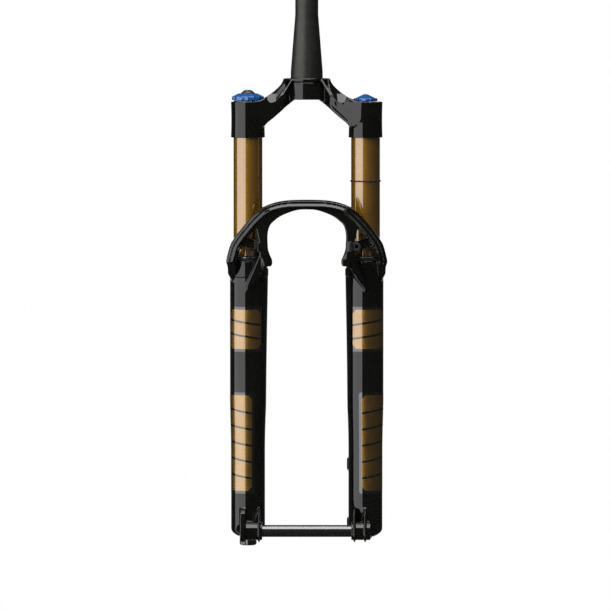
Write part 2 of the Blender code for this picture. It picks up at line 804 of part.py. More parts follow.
def make_wiper_and_bushings(label, side):
    at = (side * LEG_X, LEG_Y, 0)
    bore_r = TUBE_R + SLIDE_GAP
    wiper_profile = [
        (bore_r, WIPER_TOP_Z),
        (0.0199, WIPER_TOP_Z - 0.0004),
        (0.0204, WIPER_TOP_Z - 0.0011),
        (0.0197, WIPER_TOP_Z - 0.0030),
        (WIPER_FLANGE_R - 0.0006, WIPER_TOP_Z - 0.0034),
        (WIPER_FLANGE_R, WIPER_TOP_Z - 0.0040),
        (WIPER_FLANGE_R, COLLAR_TOP_Z + GAP),
        (WIPER_SEAT_R - GAP, COLLAR_TOP_Z + GAP),
        (WIPER_SEAT_R - GAP, -0.2355),
        (0.0200, -0.2355),
        (0.0186, -0.2300),
    ]
    turned(f"dust_wiper_{label}", "black_rubber", wiper_profile, FINE, at)
    sleeve(
        f"wiper_spring_{label}",
        "polished_steel",
        0.0210,
        0.0206,
        WIPER_TOP_Z - 0.0017,
        WIPER_TOP_Z - 0.0025,
        FINE,
        at,
    )
    sleeve(f"foam_ring_{label}", "grey_foam", 0.0211, 0.0184, -0.2359, -0.2436, MEDIUM, at)
    for place_name, top in (("upper", -0.2460), ("lower", -0.3500)):
        sleeve(
            f"{place_name}_bushing_{label}",
            "bushing_lining",
            BUSHING_SEAT_R - GAP,
            bore_r,
            top,
            top - 0.0160,
            FINE,
            at,
        )
    sleeve(
        f"bottom_out_bumper_{label}",
        "black_rubber",
        0.0095,
        SHAFT_R + GAP,
        -0.5410,
        LEG_FLOOR_Z + GAP,
        SMALL,
        at,
        edge=0.0010,
    )


def make_damper_shaft():
    at = (-LEG_X, LEG_Y, 0)
    sleeve("damper_shaft", "polished_steel", SHAFT_R, 0.0020, -0.3140, SHAFT_FOOT_Z, SMALL, at)
    sleeve(
        "rebound_piston",
        "plain_aluminium",
        PISTON_R,
        SHAFT_R + GAP,
        -0.3180,
        -0.3300,
        MEDIUM,
        at,
        edge=0.0006,
    )
    rod("rebound_rod", "polished_steel", 0.0015, -0.3160, -0.5765, SMALL, at)
    knob_profile = [
        (0.0018, -0.5710),
        (0.0098, -0.5710),
        (0.0105, -0.5717),
        (0.0105, -0.5770),
        (0.0098, -0.5787),
        (0.0082, -0.5794),
        (0, -0.5794),
        (0, -0.5768),
        (0.0018, -0.5768),
    ]
    turned("rebound_dial", "black_anodised", knob_profile, MEDIUM, at)


def make_air_spring():
    at = (LEG_X, LEG_Y, 0)
    rod("air_shaft", "polished_steel", SHAFT_R, -0.3460, SHAFT_FOOT_Z, SMALL, at)
    piston_profile = [
        (0.0157, -0.3500),
        (0.0157, -0.3540),
        (0.0133, -0.3540),
        (0.0133, -0.3580),
        (0.0157, -0.3580),
        (0.0157, -0.3620),
        (SHAFT_R + GAP, -0.3620),
        (SHAFT_R + GAP, -0.3500),
    ]
    turned("air_piston", "black_plastic", piston_profile, MEDIUM, at)
    sleeve("air_piston_seal", "black_rubber", 0.0159, 0.0136, -0.3543, -0.3577, MEDIUM, at)


def make_foot_fasteners(label, side):
    at = (side * LEG_X, LEG_Y, 0)
    sleeve(
        f"crush_washer_{label}", "plain_aluminium", 0.0086, FOOT_HOLE_R, -0.5633, -0.5643, SMALL, at
    )
    nut = rod(f"foot_nut_{label}", "black_anodised", 0.0081, -0.5646, -0.5704, HEXAGON, at)
    bore = rod(f"foot_nut_bore_{label}", None, SHAFT_R + GAP, -0.5600, -0.5800, SMALL, at)
    boolean(nut, "DIFFERENCE", bore)


def make_bleeder(label, side):
    """A push button in a small boss at the rear of the leg, with its bore's floor behind it."""
    profile = [
        (0, BLEEDER_FACE_Y + 0.0014),
        (0.0025, BLEEDER_FACE_Y + 0.0014),
        (0.0032, BLEEDER_FACE_Y + 0.0007),
        (0.0032, LEG_Y + 0.0226),
        (0, LEG_Y + 0.0226),
    ]
    turned(
        f"bleeder_{label}",
        "black_anodised",
        profile,
        SMALL,
        (side * LEG_X, 0, BLEEDER_Z),
        ALONG_Y,
        ring=False,
    )


def make_axle():
    profile = [
        (0, 0.0788),
        (AXLE_R - 0.0006, 0.0788),
        (AXLE_R, 0.0782),
        (AXLE_R, -0.0570),
        (THREAD_R, -0.0578),
        (THREAD_R, -0.0765),
        (THREAD_R - 0.0008, -0.0773),
        (0, -0.0773),
    ]
    at_axle = (0, AXLE_Y, AXLE_Z)
    axle = turned("axle", "black_anodised", profile, MEDIUM, at_axle, ALONG_X, ring=False)
    socket = rod("axle_socket", None, 0.00346, 0.0850, 0.0680, HEXAGON, at_axle, ALONG_X)
    boolean(axle, "DIFFERENCE", socket)
    sleeve(
        "axle_nut",
        "black_anodised",
        NUT_R,
        THREAD_R + GAP,
        -0.0583,
        -0.0787,
        MEDIUM,
        at_axle,
        ALONG_X,
        edge=0.0006,
    )


def make_hose_guide():
    """A clip on the arch's inner limb: a flat ear under the screw and a loop round the hose."""
    x, z = GUIDE_SCREW
    back_y = ARCH_FACE_Y - GAP
    hose_at = (HOSE_X, back_y - HOSE_LOOP_R - 0.00025, 0)
    at_screw = (x, 0, z)
    ear = arc(x, z, GUIDE_EAR_R, 90, -90, 9)
    ear += [(HOSE_X, z - GUIDE_EAR_R), (HOSE_X, z + GUIDE_EAR_R)]
    guide = plate("hose_guide", "black_plastic", [ear], GUIDE_T, (0, back_y - GUIDE_T / 2, 0), FRONT)
    loop = rod("hose_loop", None, HOSE_LOOP_R, z + 0.0064, z - 0.0064, SMALL, hose_at)
    boolean(guide, "UNION", loop)
    front, rear = back_y - 0.010, back_y + 0.010
    cuts = [
        rod("hose_hole", None, HOSE_R, z + 0.020, z - 0.020, SMALL, hose_at),
        rod("hose_guide_hole", None, GUIDE_HOLE_R, rear, front, SMALL, at_screw, ALONG_Y),
    ]
    boolean(guide, "DIFFERENCE", gather("hose_guide_cuts", cuts))
    head_y = back_y - GUIDE_T - GAP
    screw_profile = [
        (0, ARCH_FACE_Y + 0.0080),
        (GUIDE_SCREW_R, ARCH_FACE_Y + 0.0080),
        (GUIDE_SCREW_R, head_y),
        (0.0040, head_y),
        (0.0040, head_y - 0.0012),
        (0.0032, head_y - 0.0020),
        (0, head_y - 0.0020),
    ]
    turned(
        "hose_guide_screw", "black_anodised", screw_profile, SMALL, at_screw, ALONG_Y, ring=False
    )


make_steerer()
make_crown()
make_upper_tube("upper_tube_right", -1)
make_upper_tube("upper_tube_left", 1)
make_damper_top()
make_air_top()
make_travel_ring()
make_damper_cartridge()
make_piston_spring()
make_air_seals()
make_lower_casting()
make_damper_shaft()
make_air_spring()
for leg_label, leg_side in (("right", -1), ("left", 1)):
    make_wiper_and_bushings(leg_label, leg_side)
    make_foot_fasteners(leg_label, leg_side)
    make_bleeder(leg_label, leg_side)
make_axle()
make_hose_guide()
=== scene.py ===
"""The looks of a single-crown bicycle suspension fork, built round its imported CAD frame.

The fork's front points to -Y and the rider's right to -X; the crown's top is at z = 0.
The crown and the lower casting are surfaced from signed distance fields, whose outlines are
in millimetres. Round pieces are spun again from their CAD outlines, with more facets and
rounded edges. The graphics are thin films that lie on the legs.
"""

import json
from math import cos, pi, radians, sin, tan

import bmesh
import bpy
import numpy as np
from mathutils import Matrix, Vector


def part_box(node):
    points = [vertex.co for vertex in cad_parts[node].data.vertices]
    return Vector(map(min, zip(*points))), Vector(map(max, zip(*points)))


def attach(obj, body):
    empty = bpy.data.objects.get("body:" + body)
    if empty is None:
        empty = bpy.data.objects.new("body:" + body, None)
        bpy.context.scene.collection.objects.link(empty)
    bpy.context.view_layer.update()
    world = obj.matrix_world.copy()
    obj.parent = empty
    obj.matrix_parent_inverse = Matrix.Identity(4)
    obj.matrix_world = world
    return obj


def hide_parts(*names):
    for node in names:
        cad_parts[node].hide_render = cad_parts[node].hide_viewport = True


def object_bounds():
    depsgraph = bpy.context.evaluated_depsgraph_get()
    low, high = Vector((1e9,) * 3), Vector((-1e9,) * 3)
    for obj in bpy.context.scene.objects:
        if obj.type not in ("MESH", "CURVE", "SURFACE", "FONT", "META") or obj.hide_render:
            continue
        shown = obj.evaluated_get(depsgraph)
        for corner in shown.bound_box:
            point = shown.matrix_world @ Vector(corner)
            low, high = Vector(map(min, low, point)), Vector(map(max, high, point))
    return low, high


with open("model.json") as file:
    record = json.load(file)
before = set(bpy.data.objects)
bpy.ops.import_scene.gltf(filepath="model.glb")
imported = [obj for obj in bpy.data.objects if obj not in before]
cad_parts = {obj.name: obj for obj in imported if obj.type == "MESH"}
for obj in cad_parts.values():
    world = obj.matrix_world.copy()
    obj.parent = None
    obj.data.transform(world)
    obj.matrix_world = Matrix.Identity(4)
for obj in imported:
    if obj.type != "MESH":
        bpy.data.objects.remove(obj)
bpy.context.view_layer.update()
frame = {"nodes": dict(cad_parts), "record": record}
MM = 0.001

SLOT = {part["node"]: part["material_slot"] for part in frame["record"]["subparts"]}
BODY = {node: body for body, nodes in frame["record"]["behaviour"]["bodies"].items() for node in nodes}


def middle(node):
    low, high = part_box(node)
    return (low + high) / 2


# Axes and levels of the frame, in metres and then in millimetres.
LEG = middle("upper_tube_left")
STEERER = middle("steerer_tube")
AXLE = middle("axle")
LEG_X, LEG_Y = LEG.x / MM, LEG.y / MM
STEERER_Y = STEERER.y / MM
AXLE_Y, AXLE_Z = AXLE.y / MM, AXLE.z / MM
TUBE_R = (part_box("upper_tube_left")[1].x - LEG.x) / MM
RACE_R = 19.9
COLLAR_TOP_Z = -225.9


# ---------------------------------------------------------------- fields and outlines


def smin(a, b, k):
    """The lesser of two distances, blended over k into a round fillet."""
    h = np.maximum(k - np.abs(a - b), 0) / k
    return np.minimum(a, b) - h**3 * k / 6


def smax(a, b, k):
    return -smin(-a, -b, k)


def smooth_step(start, end, x):
    t = np.clip((x - start) / (end - start), 0, 1)
    return t * t * (3 - 2 * t)


def curve_through(points, per_span=6):
    """A smooth curve through points, as a denser list of points."""
    ends = [tuple(2 * a - b for a, b in zip(points[i], points[j])) for i, j in ((0, 1), (-1, -2))]
    p = np.array([ends[0], *points, ends[1]])
    dense = []
    for i in range(1, len(p) - 2):
        for t in np.arange(per_span) / per_span:
            near = -(t**3) + 2 * t**2 - t
            here = 3 * t**3 - 5 * t**2 + 2
            there = -3 * t**3 + 4 * t**2 + t
            beyond = t**3 - t**2
            mixed = near * p[i - 1] + here * p[i] + there * p[i + 1] + beyond * p[i + 2]
            dense.append(tuple(mixed / 2))
    return dense + [tuple(points[-1])]


def curve_distance(u, v, points):
    """Distance to an open line through points."""
    best = np.full(np.broadcast(u, v).shape, np.inf)
    for (ax, ay), (bx, by) in zip(points, points[1:]):
        ex, ey = bx - ax, by - ay
        t = np.clip(((u - ax) * ex + (v - ay) * ey) / (ex * ex + ey * ey), 0, 1)
        best = np.minimum(best, (u - ax - ex * t) ** 2 + (v - ay - ey * t) ** 2)
    return np.sqrt(best)


def outline_distance(u, v, points):
    """Distance to a closed outline, negative inside it."""
    loop = list(points) + [points[0]]
    inside = np.zeros(np.broadcast(u, v).shape, bool)
    for (ax, ay), (bx, by) in zip(loop, loop[1:]):
        if ay != by:
            spans = (v >= min(ay, by)) & (v < max(ay, by))
            inside ^= spans & (u < ax + (bx - ax) * (v - ay) / (by - ay))
    distance = curve_distance(u, v, loop)
    return np.where(inside, -distance, distance)


def follow(x, knots):
    """A smooth function through (x, value) knots, given in rising order of x."""
    dense = np.array(curve_through(knots))
    return np.interp(x, dense[:, 0], dense[:, 1])


def bar_distance(x, y, z, start, end, radius, end_radius=None):
    """Distance to a round bar with round ends, which may widen towards its end."""
    run = np.subtract(end, start)
    dx, dy, dz = x - start[0], y - start[1], z - start[2]
    t = np.clip((dx * run[0] + dy * run[1] + dz * run[2]) / (run @ run), 0, 1)
    off = np.sqrt((dx - run[0] * t) ** 2 + (dy - run[1] * t) ** 2 + (dz - run[2] * t) ** 2)
    return off - radius - t * ((end_radius or radius) - radius)


def slice_distance(from_axis, radius, z, top, bottom):
    """Distance to a cylinder between two heights."""
    return np.maximum(from_axis - radius, np.maximum(z - top, bottom - z))


def grid_lines(start, *stretches):
    """Grid planes along one axis: a start, then (end, spacing) for each stretch."""
    lines = [start]
    for end, step in stretches:
        count = max(1, round((end - lines[-1]) / step))
        lines += list(np.linspace(lines[-1], end, count + 1)[1:])
    return np.array(lines)


def crossings(values, lines, axis):
    """Grid edges along one axis that the surface crosses: their nodes, points and senses."""
    lead = np.moveaxis(values, axis, 0)
    near, far = lead[:-1], lead[1:]
    crossed = (near < 0) != (far < 0)
    index = np.argwhere(crossed)
    others = [i for i in range(3) if i != axis]
    node = np.zeros_like(index)
    node[:, [axis, *others]] = index
    point = np.stack([lines[i][node[:, i]] for i in range(3)], 1)
    share = near[crossed] / (near[crossed] - far[crossed])
    step = lines[axis][node[:, axis] + 1] - lines[axis][node[:, axis]]
    point[:, axis] += share * step
    return node, point, near[crossed] < 0, others


def surface_net(field, lines):
    """Points and four-sided faces of the surface where field is zero."""
    x, y, z = lines
    values = field(x[:, None, None], y[None, :, None], z[None, None, :])
    cells = tuple(len(line) - 1 for line in lines)
    total = np.zeros((np.prod(cells), 3))
    count = np.zeros(np.prod(cells))
    faces = []
    for axis in range(3):
        node, point, leaving, others = crossings(values, lines, axis)
        corners = []
        for first, second in ((0, 0), (1, 0), (1, 1), (0, 1)):
            cell = node.copy()
            cell[:, others[0]] -= first
            cell[:, others[1]] -= second
            flat = np.ravel_multi_index(tuple(cell.T), cells)
            corners.append(flat)
            count += np.bincount(flat, minlength=len(count))
            for i in range(3):
                total[:, i] += np.bincount(flat, weights=point[:, i], minlength=len(count))
        quads = np.stack(corners, 1)
        backwards = leaving == (axis == 1)
        quads[backwards] = quads[backwards][:, ::-1]
        faces.append(quads)
    used = np.flatnonzero(count)
    renumbered = np.zeros(len(count), int)
    renumbered[used] = np.arange(len(used))
    return total[used] / count[used, None], renumbered[np.concatenate(faces)]


def slope(field, points, reach=0.12):
    """The field's gradient at points, from differences over a short reach."""
    sides = []
    for i in range(3):
        step = np.zeros(3)
        step[i] = reach
        ahead, behind = points + step, points - step
        sides.append(field(*ahead.T) - field(*behind.T))
    return np.stack(sides, 1) / (2 * reach)


def surfaced(name, field, lines, rounds=3, longest=0.5):
    """A piece whose skin is where field is zero, on a grid whose lines are in millimetres."""
    points, faces = surface_net(field, lines)
    for _ in range(rounds):
        gradient = slope(field, points)
        size = np.maximum((gradient**2).sum(1), 0.1)
        shift = gradient * (field(*points.T) / size)[:, None]
        length = np.maximum(np.linalg.norm(shift, axis=1), 1e-9)
        points = points - shift * np.minimum(1, longest / length)[:, None]
    normals = slope(field, points)
    normals /= np.maximum(np.linalg.norm(normals, axis=1), 1e-9)[:, None]
    mesh = bpy.data.meshes.new(name)
    mesh.from_pydata((points * MM).tolist(), [], faces.tolist())
    mesh.shade_smooth()
    mesh.normals_split_custom_set_from_vertices(normals.tolist())
    return link(bpy.data.objects.new(name, mesh))


# ---------------------------------------------------------------- pieces and where they ride


def link(obj):
    bpy.context.scene.collection.objects.link(obj)
    return obj


def bake_modifiers(obj):
    """Keep the evaluated mesh and drop the modifiers."""
    bpy.context.view_layer.update()
    graph = bpy.context.evaluated_depsgraph_get()
    mesh = bpy.data.meshes.new_from_object(obj.evaluated_get(graph))
    obj.modifiers.clear()
    obj.data = mesh


def stand_for(obj, node, finish=None):
    """The piece takes the place, the body and the finish of a CAD node."""
    slot = finish or SLOT[node]
    obj.data.materials.clear()
    obj.data.materials.append(FINISHES[slot])
    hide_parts(node)
    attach(obj, BODY[node])


AXIS_TURN = {
    "Z": Matrix.Identity(4),
    "X": Matrix.Rotation(pi / 2, 4, "Y"),
    "Y": Matrix.Rotation(-pi / 2, 4, "X"),
}


def cad_profile(node, centre, axis):
    """The (radius, height) outline of a turned CAD node, read along one of its facet edges."""
    turn = (Matrix.Translation(centre) @ AXIS_TURN[axis]).inverted()
    local = [turn @ v.co for v in frame["nodes"][node].data.vertices]
    near = {}
    for i, co in enumerate(local):
        radius = np.hypot(co.x, co.y)
        if radius < 2e-6 or (abs(co.y) < 2e-6 and co.x > 0):
            near[i] = (round(radius, 6), round(co.z, 6))
    steps = {}
    for edge in frame["nodes"][node].data.edges:
        a, b = (near.get(i) for i in edge.vertices)
        if a and b and a != b and (a[0] > 0 or b[0] > 0):
            steps.setdefault(a, set()).add(b)
            steps.setdefault(b, set()).add(a)
    ends = sorted(p for p in steps if p[0] == 0)
    path = [ends[-1] if ends else min(steps)]
    while True:
        onward = sorted(p for p in steps[path[-1]] if p not in path)
        if not onward:
            return path, not ends
        path.append(onward[0])


def rounded(profile, closed, edge):
    """The outline with its corners rounded off, over edge to each side of a corner."""
    p = np.array(profile)
    count = len(p)
    result = []
    for i in range(count):
        if not closed and i in (0, count - 1):
            result.append(tuple(p[i]))
            continue
        before, here, after = p[i - 1], p[i], p[(i + 1) % count]
        back, on = before - here, after - here
        back_length, on_length = np.linalg.norm(back), np.linalg.norm(on)
        straight = np.dot(back, on) / (back_length * on_length) < -0.985
        if straight or here[0] < 1e-6:
            result.append(tuple(here))
            continue
        start = here + back / back_length * min(edge, 0.45 * back_length)
        end = here + on / on_length * min(edge, 0.45 * on_length)
        for t in (0, 0.25, 0.5, 0.75, 1):
            result.append(tuple((1 - t) ** 2 * start + 2 * t * (1 - t) * here + t * t * end))
    return result


def spun(name, profile, closed, centre, axis="Z", segments=96, shape=None):
    """A body of revolution from (radius, height) points. shape(angles, radius) may change
    the radius round the turn."""
    angles = np.arange(segments) * 2 * pi / segments
    mesh = bpy.data.meshes.new(name)
    builder = bmesh.new()
    rings = []
    for radius, height in profile:
        if radius < 1e-7:
            rings.append([builder.verts.new((0, 0, height))])
            continue
        radii = shape(angles, radius) if shape else np.full(segments, radius)
        places = zip(radii * np.cos(angles), radii * np.sin(angles))
        rings.append([builder.verts.new((x, y, height)) for x, y in places])
    pairs = list(zip(rings, rings[1:] + rings[:1]))
    for near, far in pairs if closed else pairs[:-1]:
        for i in range(segments):
            j = (i + 1) % segments
            corners = [near[i % len(near)], near[j % len(near)], far[j % len(far)], far[i % len(far)]]
            corners = list(dict.fromkeys(corners))
            if len(corners) > 2:
                builder.faces.new(corners)
    bmesh.ops.recalc_face_normals(builder, faces=builder.faces)
    builder.transform(Matrix.Translation(centre) @ AXIS_TURN[axis])
    builder.to_mesh(mesh)
    builder.free()
    mesh.shade_smooth()
    mesh.set_sharp_from_angle(angle=radians(35))
    obj = link(bpy.data.objects.new(name, mesh))
    weighted = obj.modifiers.new("Even shading", "WEIGHTED_NORMAL")
    weighted.keep_sharp = True
    return obj


def respun(node, axis="Z", segments=96, edge=0.4, shape=None):
    """A turned CAD node again, with a rounder turn and its edges rounded over edge millimetres."""
    centre = middle(node)
    across = {"Z": (centre.x, centre.y, 0), "X": (0, centre.y, centre.z), "Y": (centre.x, 0, centre.z)}
    profile, closed = cad_profile(node, Vector(across[axis]), axis)
    outline = rounded(profile, closed, edge * MM)
    obj = spun(f"{node}_skin", outline, closed, Vector(across[axis]), axis, segments, shape)
    stand_for(obj, node)


# ---------------------------------------------------------------- finishes


class Finish:
    """One procedural material: a Principled shader and the nodes that feed it."""

    def __init__(self, name, **inputs):
        self.material = bpy.data.materials.new(name)
        self.material.use_nodes = True
        self.tree = self.material.node_tree
        self.shader = self.tree.nodes["Principled BSDF"]
        self.coords = self.add("ShaderNodeTexCoord").outputs["Object"]
        for label, value in inputs.items():
            self.feed(self.shader.inputs[label.replace("_", " ")], value)

    def add(self, kind, inputs=None, **settings):
        node = self.tree.nodes.new(kind)
        for key, value in settings.items():
            setattr(node, key, value)
        for key, value in (inputs or {}).items():
            self.feed(node.inputs[key], value)
        return node

    def feed(self, socket, value):
        if isinstance(value, bpy.types.NodeSocket):
            self.tree.links.new(value, socket)
        elif isinstance(value, tuple) and socket.type == "RGBA":
            socket.default_value = (*value, 1.0)
        else:
            socket.default_value = value

    def noise(self, size, detail=3.0, stretch=(1.0, 1.0, 1.0)):
        """Noise whose features are about size metres across, drawn out along stretch."""
        inputs = {"Vector": self.coords, "Scale": stretch}
        place = self.add("ShaderNodeMapping", inputs).outputs["Vector"]
        inputs = {"Vector": place, "Scale": 1 / size, "Detail": detail}
        return self.add("ShaderNodeTexNoise", inputs).outputs["Fac"]

    def spread(self, value, low, high, start=0.35, end=0.65):
        """The middle of a noise's range, spread from low to high."""
        inputs = {"Value": value, "From Min": start, "From Max": end, "To Min": low, "To Max": high}
        return self.add("ShaderNodeMapRange", inputs).outputs["Result"]

    def blend(self, share, first, second):
        node = self.add("ShaderNodeMix", data_type="RGBA")
        self.feed(node.inputs["Factor"], share)
        colours = [s for s in node.inputs if s.type == "RGBA"]
        self.feed(colours[0], first)
        self.feed(colours[1], second)
        return next(s for s in node.outputs if s.type == "RGBA")

    def add_values(self, first, second):
        return self.add("ShaderNodeMath", {0: first, 1: second}, operation="ADD").outputs["Value"]

    def bump(self, height, depth, onto=None):
        """Relief of depth metres from a height between 0 and 1, on top of any earlier relief."""
        inputs = {"Height": height, "Distance": depth, "Strength": 1.0}
        if onto is not None:
            inputs["Normal"] = onto
        return self.add("ShaderNodeBump", inputs).outputs["Normal"]

    def use(self, **inputs):
        for label, value in inputs.items():
            self.feed(self.shader.inputs[label.replace("_", " ")], value)
        return self.material


def edge_wear(finish, start=0.53, end=0.60):
    """0 on flats and 1 on sharp outer edges, broken up by noise."""
    pointed = finish.add("ShaderNodeNewGeometry").outputs["Pointiness"]
    edges = finish.spread(pointed, 0.0, 1.0, start, end)
    patches = finish.spread(finish.noise(0.004, 5.0), 0.0, 1.0, 0.45, 0.60)
    return finish.add("ShaderNodeMath", {0: edges, 1: patches}, operation="MULTIPLY").outputs["Value"]


def gloss_paint(name, deep, light, lacquer):
    """Black paint under a clear lacquer with a faint orange peel and hairline scratches."""
    f = Finish(name, Specular_IOR_Level=0.0)
    tone = f.blend(f.spread(f.noise(0.060, 2.0), 0.0, 1.0), deep, light)
    flake = f.spread(f.noise(0.00012, 1.0), 0.0, 0.2, 0.62, 0.75)
    colour = f.blend(flake, tone, (0.020, 0.020, 0.018))
    scratches = f.spread(f.noise(0.0008, 2.0, (1.0, 1.0, 0.02)), 0.0, 0.05, 0.62, 0.80)
    haze = f.spread(f.noise(0.018, 4.0), 0.025, 0.065)
    peel = f.bump(f.noise(0.0016, 1.0), 0.0000035)
    f.use(Base_Color=colour, Roughness=0.5, Coat_Weight=1.0, Coat_IOR=lacquer)
    return f.use(Coat_Roughness=f.add_values(haze, scratches), Coat_Normal=peel)


def gold_coating():
    """A slick bronze-gold coating on ground tube: faint grinding rings under a clear top."""
    f = Finish("gold_coating", Metallic=1.0)
    rings = f.noise(0.0006, 3.0, (0.05, 0.05, 1.0))
    shade = f.add_values(f.spread(f.noise(0.05, 2.0), 0.0, 0.6), f.spread(rings, 0.0, 0.4))
    colour = f.blend(shade, (0.290, 0.150, 0.007), (0.320, 0.164, 0.009))
    rough = f.spread(f.noise(0.02, 4.0), 0.52, 0.58)
    f.use(Base_Color=colour, Roughness=rough, Coat_Weight=1.0, Coat_IOR=2.2)
    return f.use(Coat_Roughness=f.spread(rings, 0.035, 0.06), Coat_Tint=(1.0, 0.95, 0.86))


def gold_print():
    """Metallic gold ink, with a fine grain, under the leg's lacquer."""
    f = Finish("gold_print", Metallic=1.0)
    grain = f.noise(0.00025, 2.0)
    colour = f.blend(f.spread(grain, 0.0, 1.0), (0.280, 0.156, 0.024), (0.350, 0.196, 0.034))
    rough = f.spread(f.noise(0.01, 3.0), 0.38, 0.44)
    f.use(Base_Color=colour, Roughness=rough, Coat_Weight=1.0, Coat_IOR=2.05)
    return f.use(Coat_Roughness=f.spread(f.noise(0.004, 3.0), 0.04, 0.07), Coat_Tint=(1.0, 0.95, 0.85))


def anodised(name, colour, worn, roughness, metallic=0.85, grain=0.00035, gloss=1.0):
    """A dyed, anodised skin with a blasted grain, thinner on sharp edges; gloss is the
    refractive index of its sealed surface."""
    f = Finish(name, Metallic=metallic)
    tone = tuple(0.82 * c for c in colour)
    dyed = f.blend(f.spread(f.noise(0.012, 3.0), 0.0, 1.0), tone, colour)
    relief = f.bump(f.noise(grain, 2.0), 0.0000018)
    rough = f.spread(f.noise(0.006, 4.0), roughness - 0.04, roughness + 0.05)
    sealed = f.spread(f.noise(0.009, 3.0), 0.06, 0.12)
    f.use(Coat_Weight=float(gloss > 1), Coat_IOR=gloss, Coat_Roughness=sealed)
    return f.use(Base_Color=f.blend(edge_wear(f), dyed, worn), Roughness=rough, Normal=relief)


def machined(name, colour, roughness, rings=(0.03, 0.03, 1.0), line=0.0004):
    """Bare metal with fine turning lines round the axis that rings leaves unstretched."""
    f = Finish(name, Metallic=1.0)
    lines = f.noise(line, 4.0, rings)
    dull = tuple(0.8 * c for c in colour)
    tone = f.blend(f.spread(f.noise(0.008, 5.0), 0.0, 1.0), dull, colour)
    patches = f.spread(f.noise(0.01, 3.0), roughness, roughness + 0.05)
    rough = f.add_values(f.spread(lines, 0.0, 0.10), patches)
    return f.use(Base_Color=tone, Roughness=rough, Normal=f.bump(lines, 0.000005))


def rubber():
    """Moulded rubber: matt, slightly bloomed, with a fine grain."""
    f = Finish("black_rubber", Specular_IOR_Level=0.35)
    bloom = f.spread(f.noise(0.006, 5.0), 0.0, 1.0)
    colour = f.blend(bloom, (0.007, 0.007, 0.007), (0.017, 0.017, 0.016))
    relief = f.bump(f.noise(0.0004, 4.0), 0.00002)
    return f.use(Base_Color=colour, Roughness=f.spread(bloom, 0.48, 0.66, 0.0, 1.0), Normal=relief)


def moulded(name, colour, roughness):
    """Injection-moulded plastic with a fine spark texture and slight flow marks."""
    f = Finish(name)
    tone = tuple(0.75 * c for c in colour)
    flow = f.spread(f.noise(0.010, 3.0, (1.0, 1.0, 0.3)), 0.0, 1.0)
    spark = f.noise(0.00045, 3.0)
    rough = f.spread(spark, roughness - 0.06, roughness + 0.06)
    f.use(Base_Color=f.blend(flow, tone, colour), Roughness=rough)
    return f.use(Normal=f.bump(spark, 0.000018))


def foam():
    """Open-cell foam, soaked grey with oil."""
    f = Finish("grey_foam", Specular_IOR_Level=0.3)
    cells = f.add("ShaderNodeTexVoronoi", {"Vector": f.coords, "Scale": 1600.0}).outputs["Distance"]
    colour = f.blend(f.spread(cells, 0.0, 1.0, 0.0, 0.7), (0.060, 0.060, 0.058), (0.190, 0.190, 0.185))
    return f.use(Base_Color=colour, Roughness=0.85, Normal=f.bump(cells, 0.0003))


NEAR_BLACK = (0.010, 0.010, 0.010)
BLUE_DYE = (0.004, 0.088, 0.320)

FINISHES = {
    "black_paint": gloss_paint("black_paint", (0.0018, 0.0018, 0.0015), (0.0032, 0.0032, 0.0028), 1.5),
    "decal_film": gloss_paint("decal_film", (0.0015, 0.0015, 0.0014), (0.0025, 0.0025, 0.0023), 2.0),
    "gold_coating": gold_coating(),
    "gold_print": gold_print(),
    "black_anodised": anodised("black_anodised", NEAR_BLACK, (0.08, 0.08, 0.08), 0.3, 0.5, gloss=1.9),
    "grey_anodised": anodised("grey_anodised", (0.050, 0.050, 0.046), (0.22, 0.22, 0.21), 0.42),
    "blue_anodised": anodised("blue_anodised", BLUE_DYE, (0.06, 0.24, 0.62), 0.34, 0.35, gloss=1.55),
    "plain_aluminium": machined("plain_aluminium", (0.62, 0.62, 0.63), 0.26),
    "polished_steel": machined("polished_steel", (0.55, 0.55, 0.55), 0.12, line=0.0002),
    "brass": machined("brass", (0.58, 0.42, 0.16), 0.22),
    "black_rubber": rubber(),
    "black_plastic": moulded("black_plastic", (0.014, 0.014, 0.014), 0.42),
    "blue_plastic": moulded("blue_plastic", (0.02, 0.10, 0.35), 0.45),
    "bushing_lining": moulded("bushing_lining", (0.20, 0.22, 0.20), 0.55),
    "grey_foam": foam(),
}


# ---------------------------------------------------------------- crown

SOCKET_TOP_Z, SOCKET_FOOT_Z = -28.9, -73.7
# The sockets are a little narrower halfway down.
SOCKET_R, SOCKET_WAIST = 21.2, 0.5
CROWN_HUB_R, CROWN_LIP_R, CROWN_NECK_R = 28.7, 29.4, 27.4
CROWN_LIP_FOOT_Z, CROWN_HUB_TOP_Z, CROWN_FOOT_Z = -3.9, -5.4, -26.7
DIAL_ROOM_R = 20.6
BORE_GAP = 0.3

# Half outlines, in millimetres. Each runs on past the middle, so that the mirror plane
# isn't taken for an edge.
CROWN_TOP_EDGE = [(27.9, 0), (29.2, -2.2), (30.5, -5.1), (33.1, -8.9), (38.0, -13.8), (44.2, -18.8)]
CROWN_TOP_EDGE += [(51.9, -23.8), (59, -27.0), (70, SOCKET_TOP_Z)]
CROWN_UNDER_EDGE = [(60, -60), (52.6, -59.5), (48.6, -54.9), (39.7, -47.9), (27.2, -36.9), (19.0, -30)]
CROWN_UNDER_EDGE += [(14.6, CROWN_FOOT_Z), (-20, CROWN_FOOT_Z)]
CROWN_FRONT = [(-20, 0), *curve_through(CROWN_TOP_EDGE), (LEG_X, SOCKET_TOP_Z), (LEG_X, -46)]
CROWN_FRONT += CROWN_UNDER_EDGE
CROWN_REAR_EDGE = [(0, 27.8), (14, 25.5), (26, 19), (40, 8.5), (56, 0.5), (LEG_X, -1)]
CROWN_FRONT_EDGE = [(LEG_X, -39.4), (66, -39.4), (60, -38.2), (45, -35.3), (38, -33.9), (29.5, -31.8)]
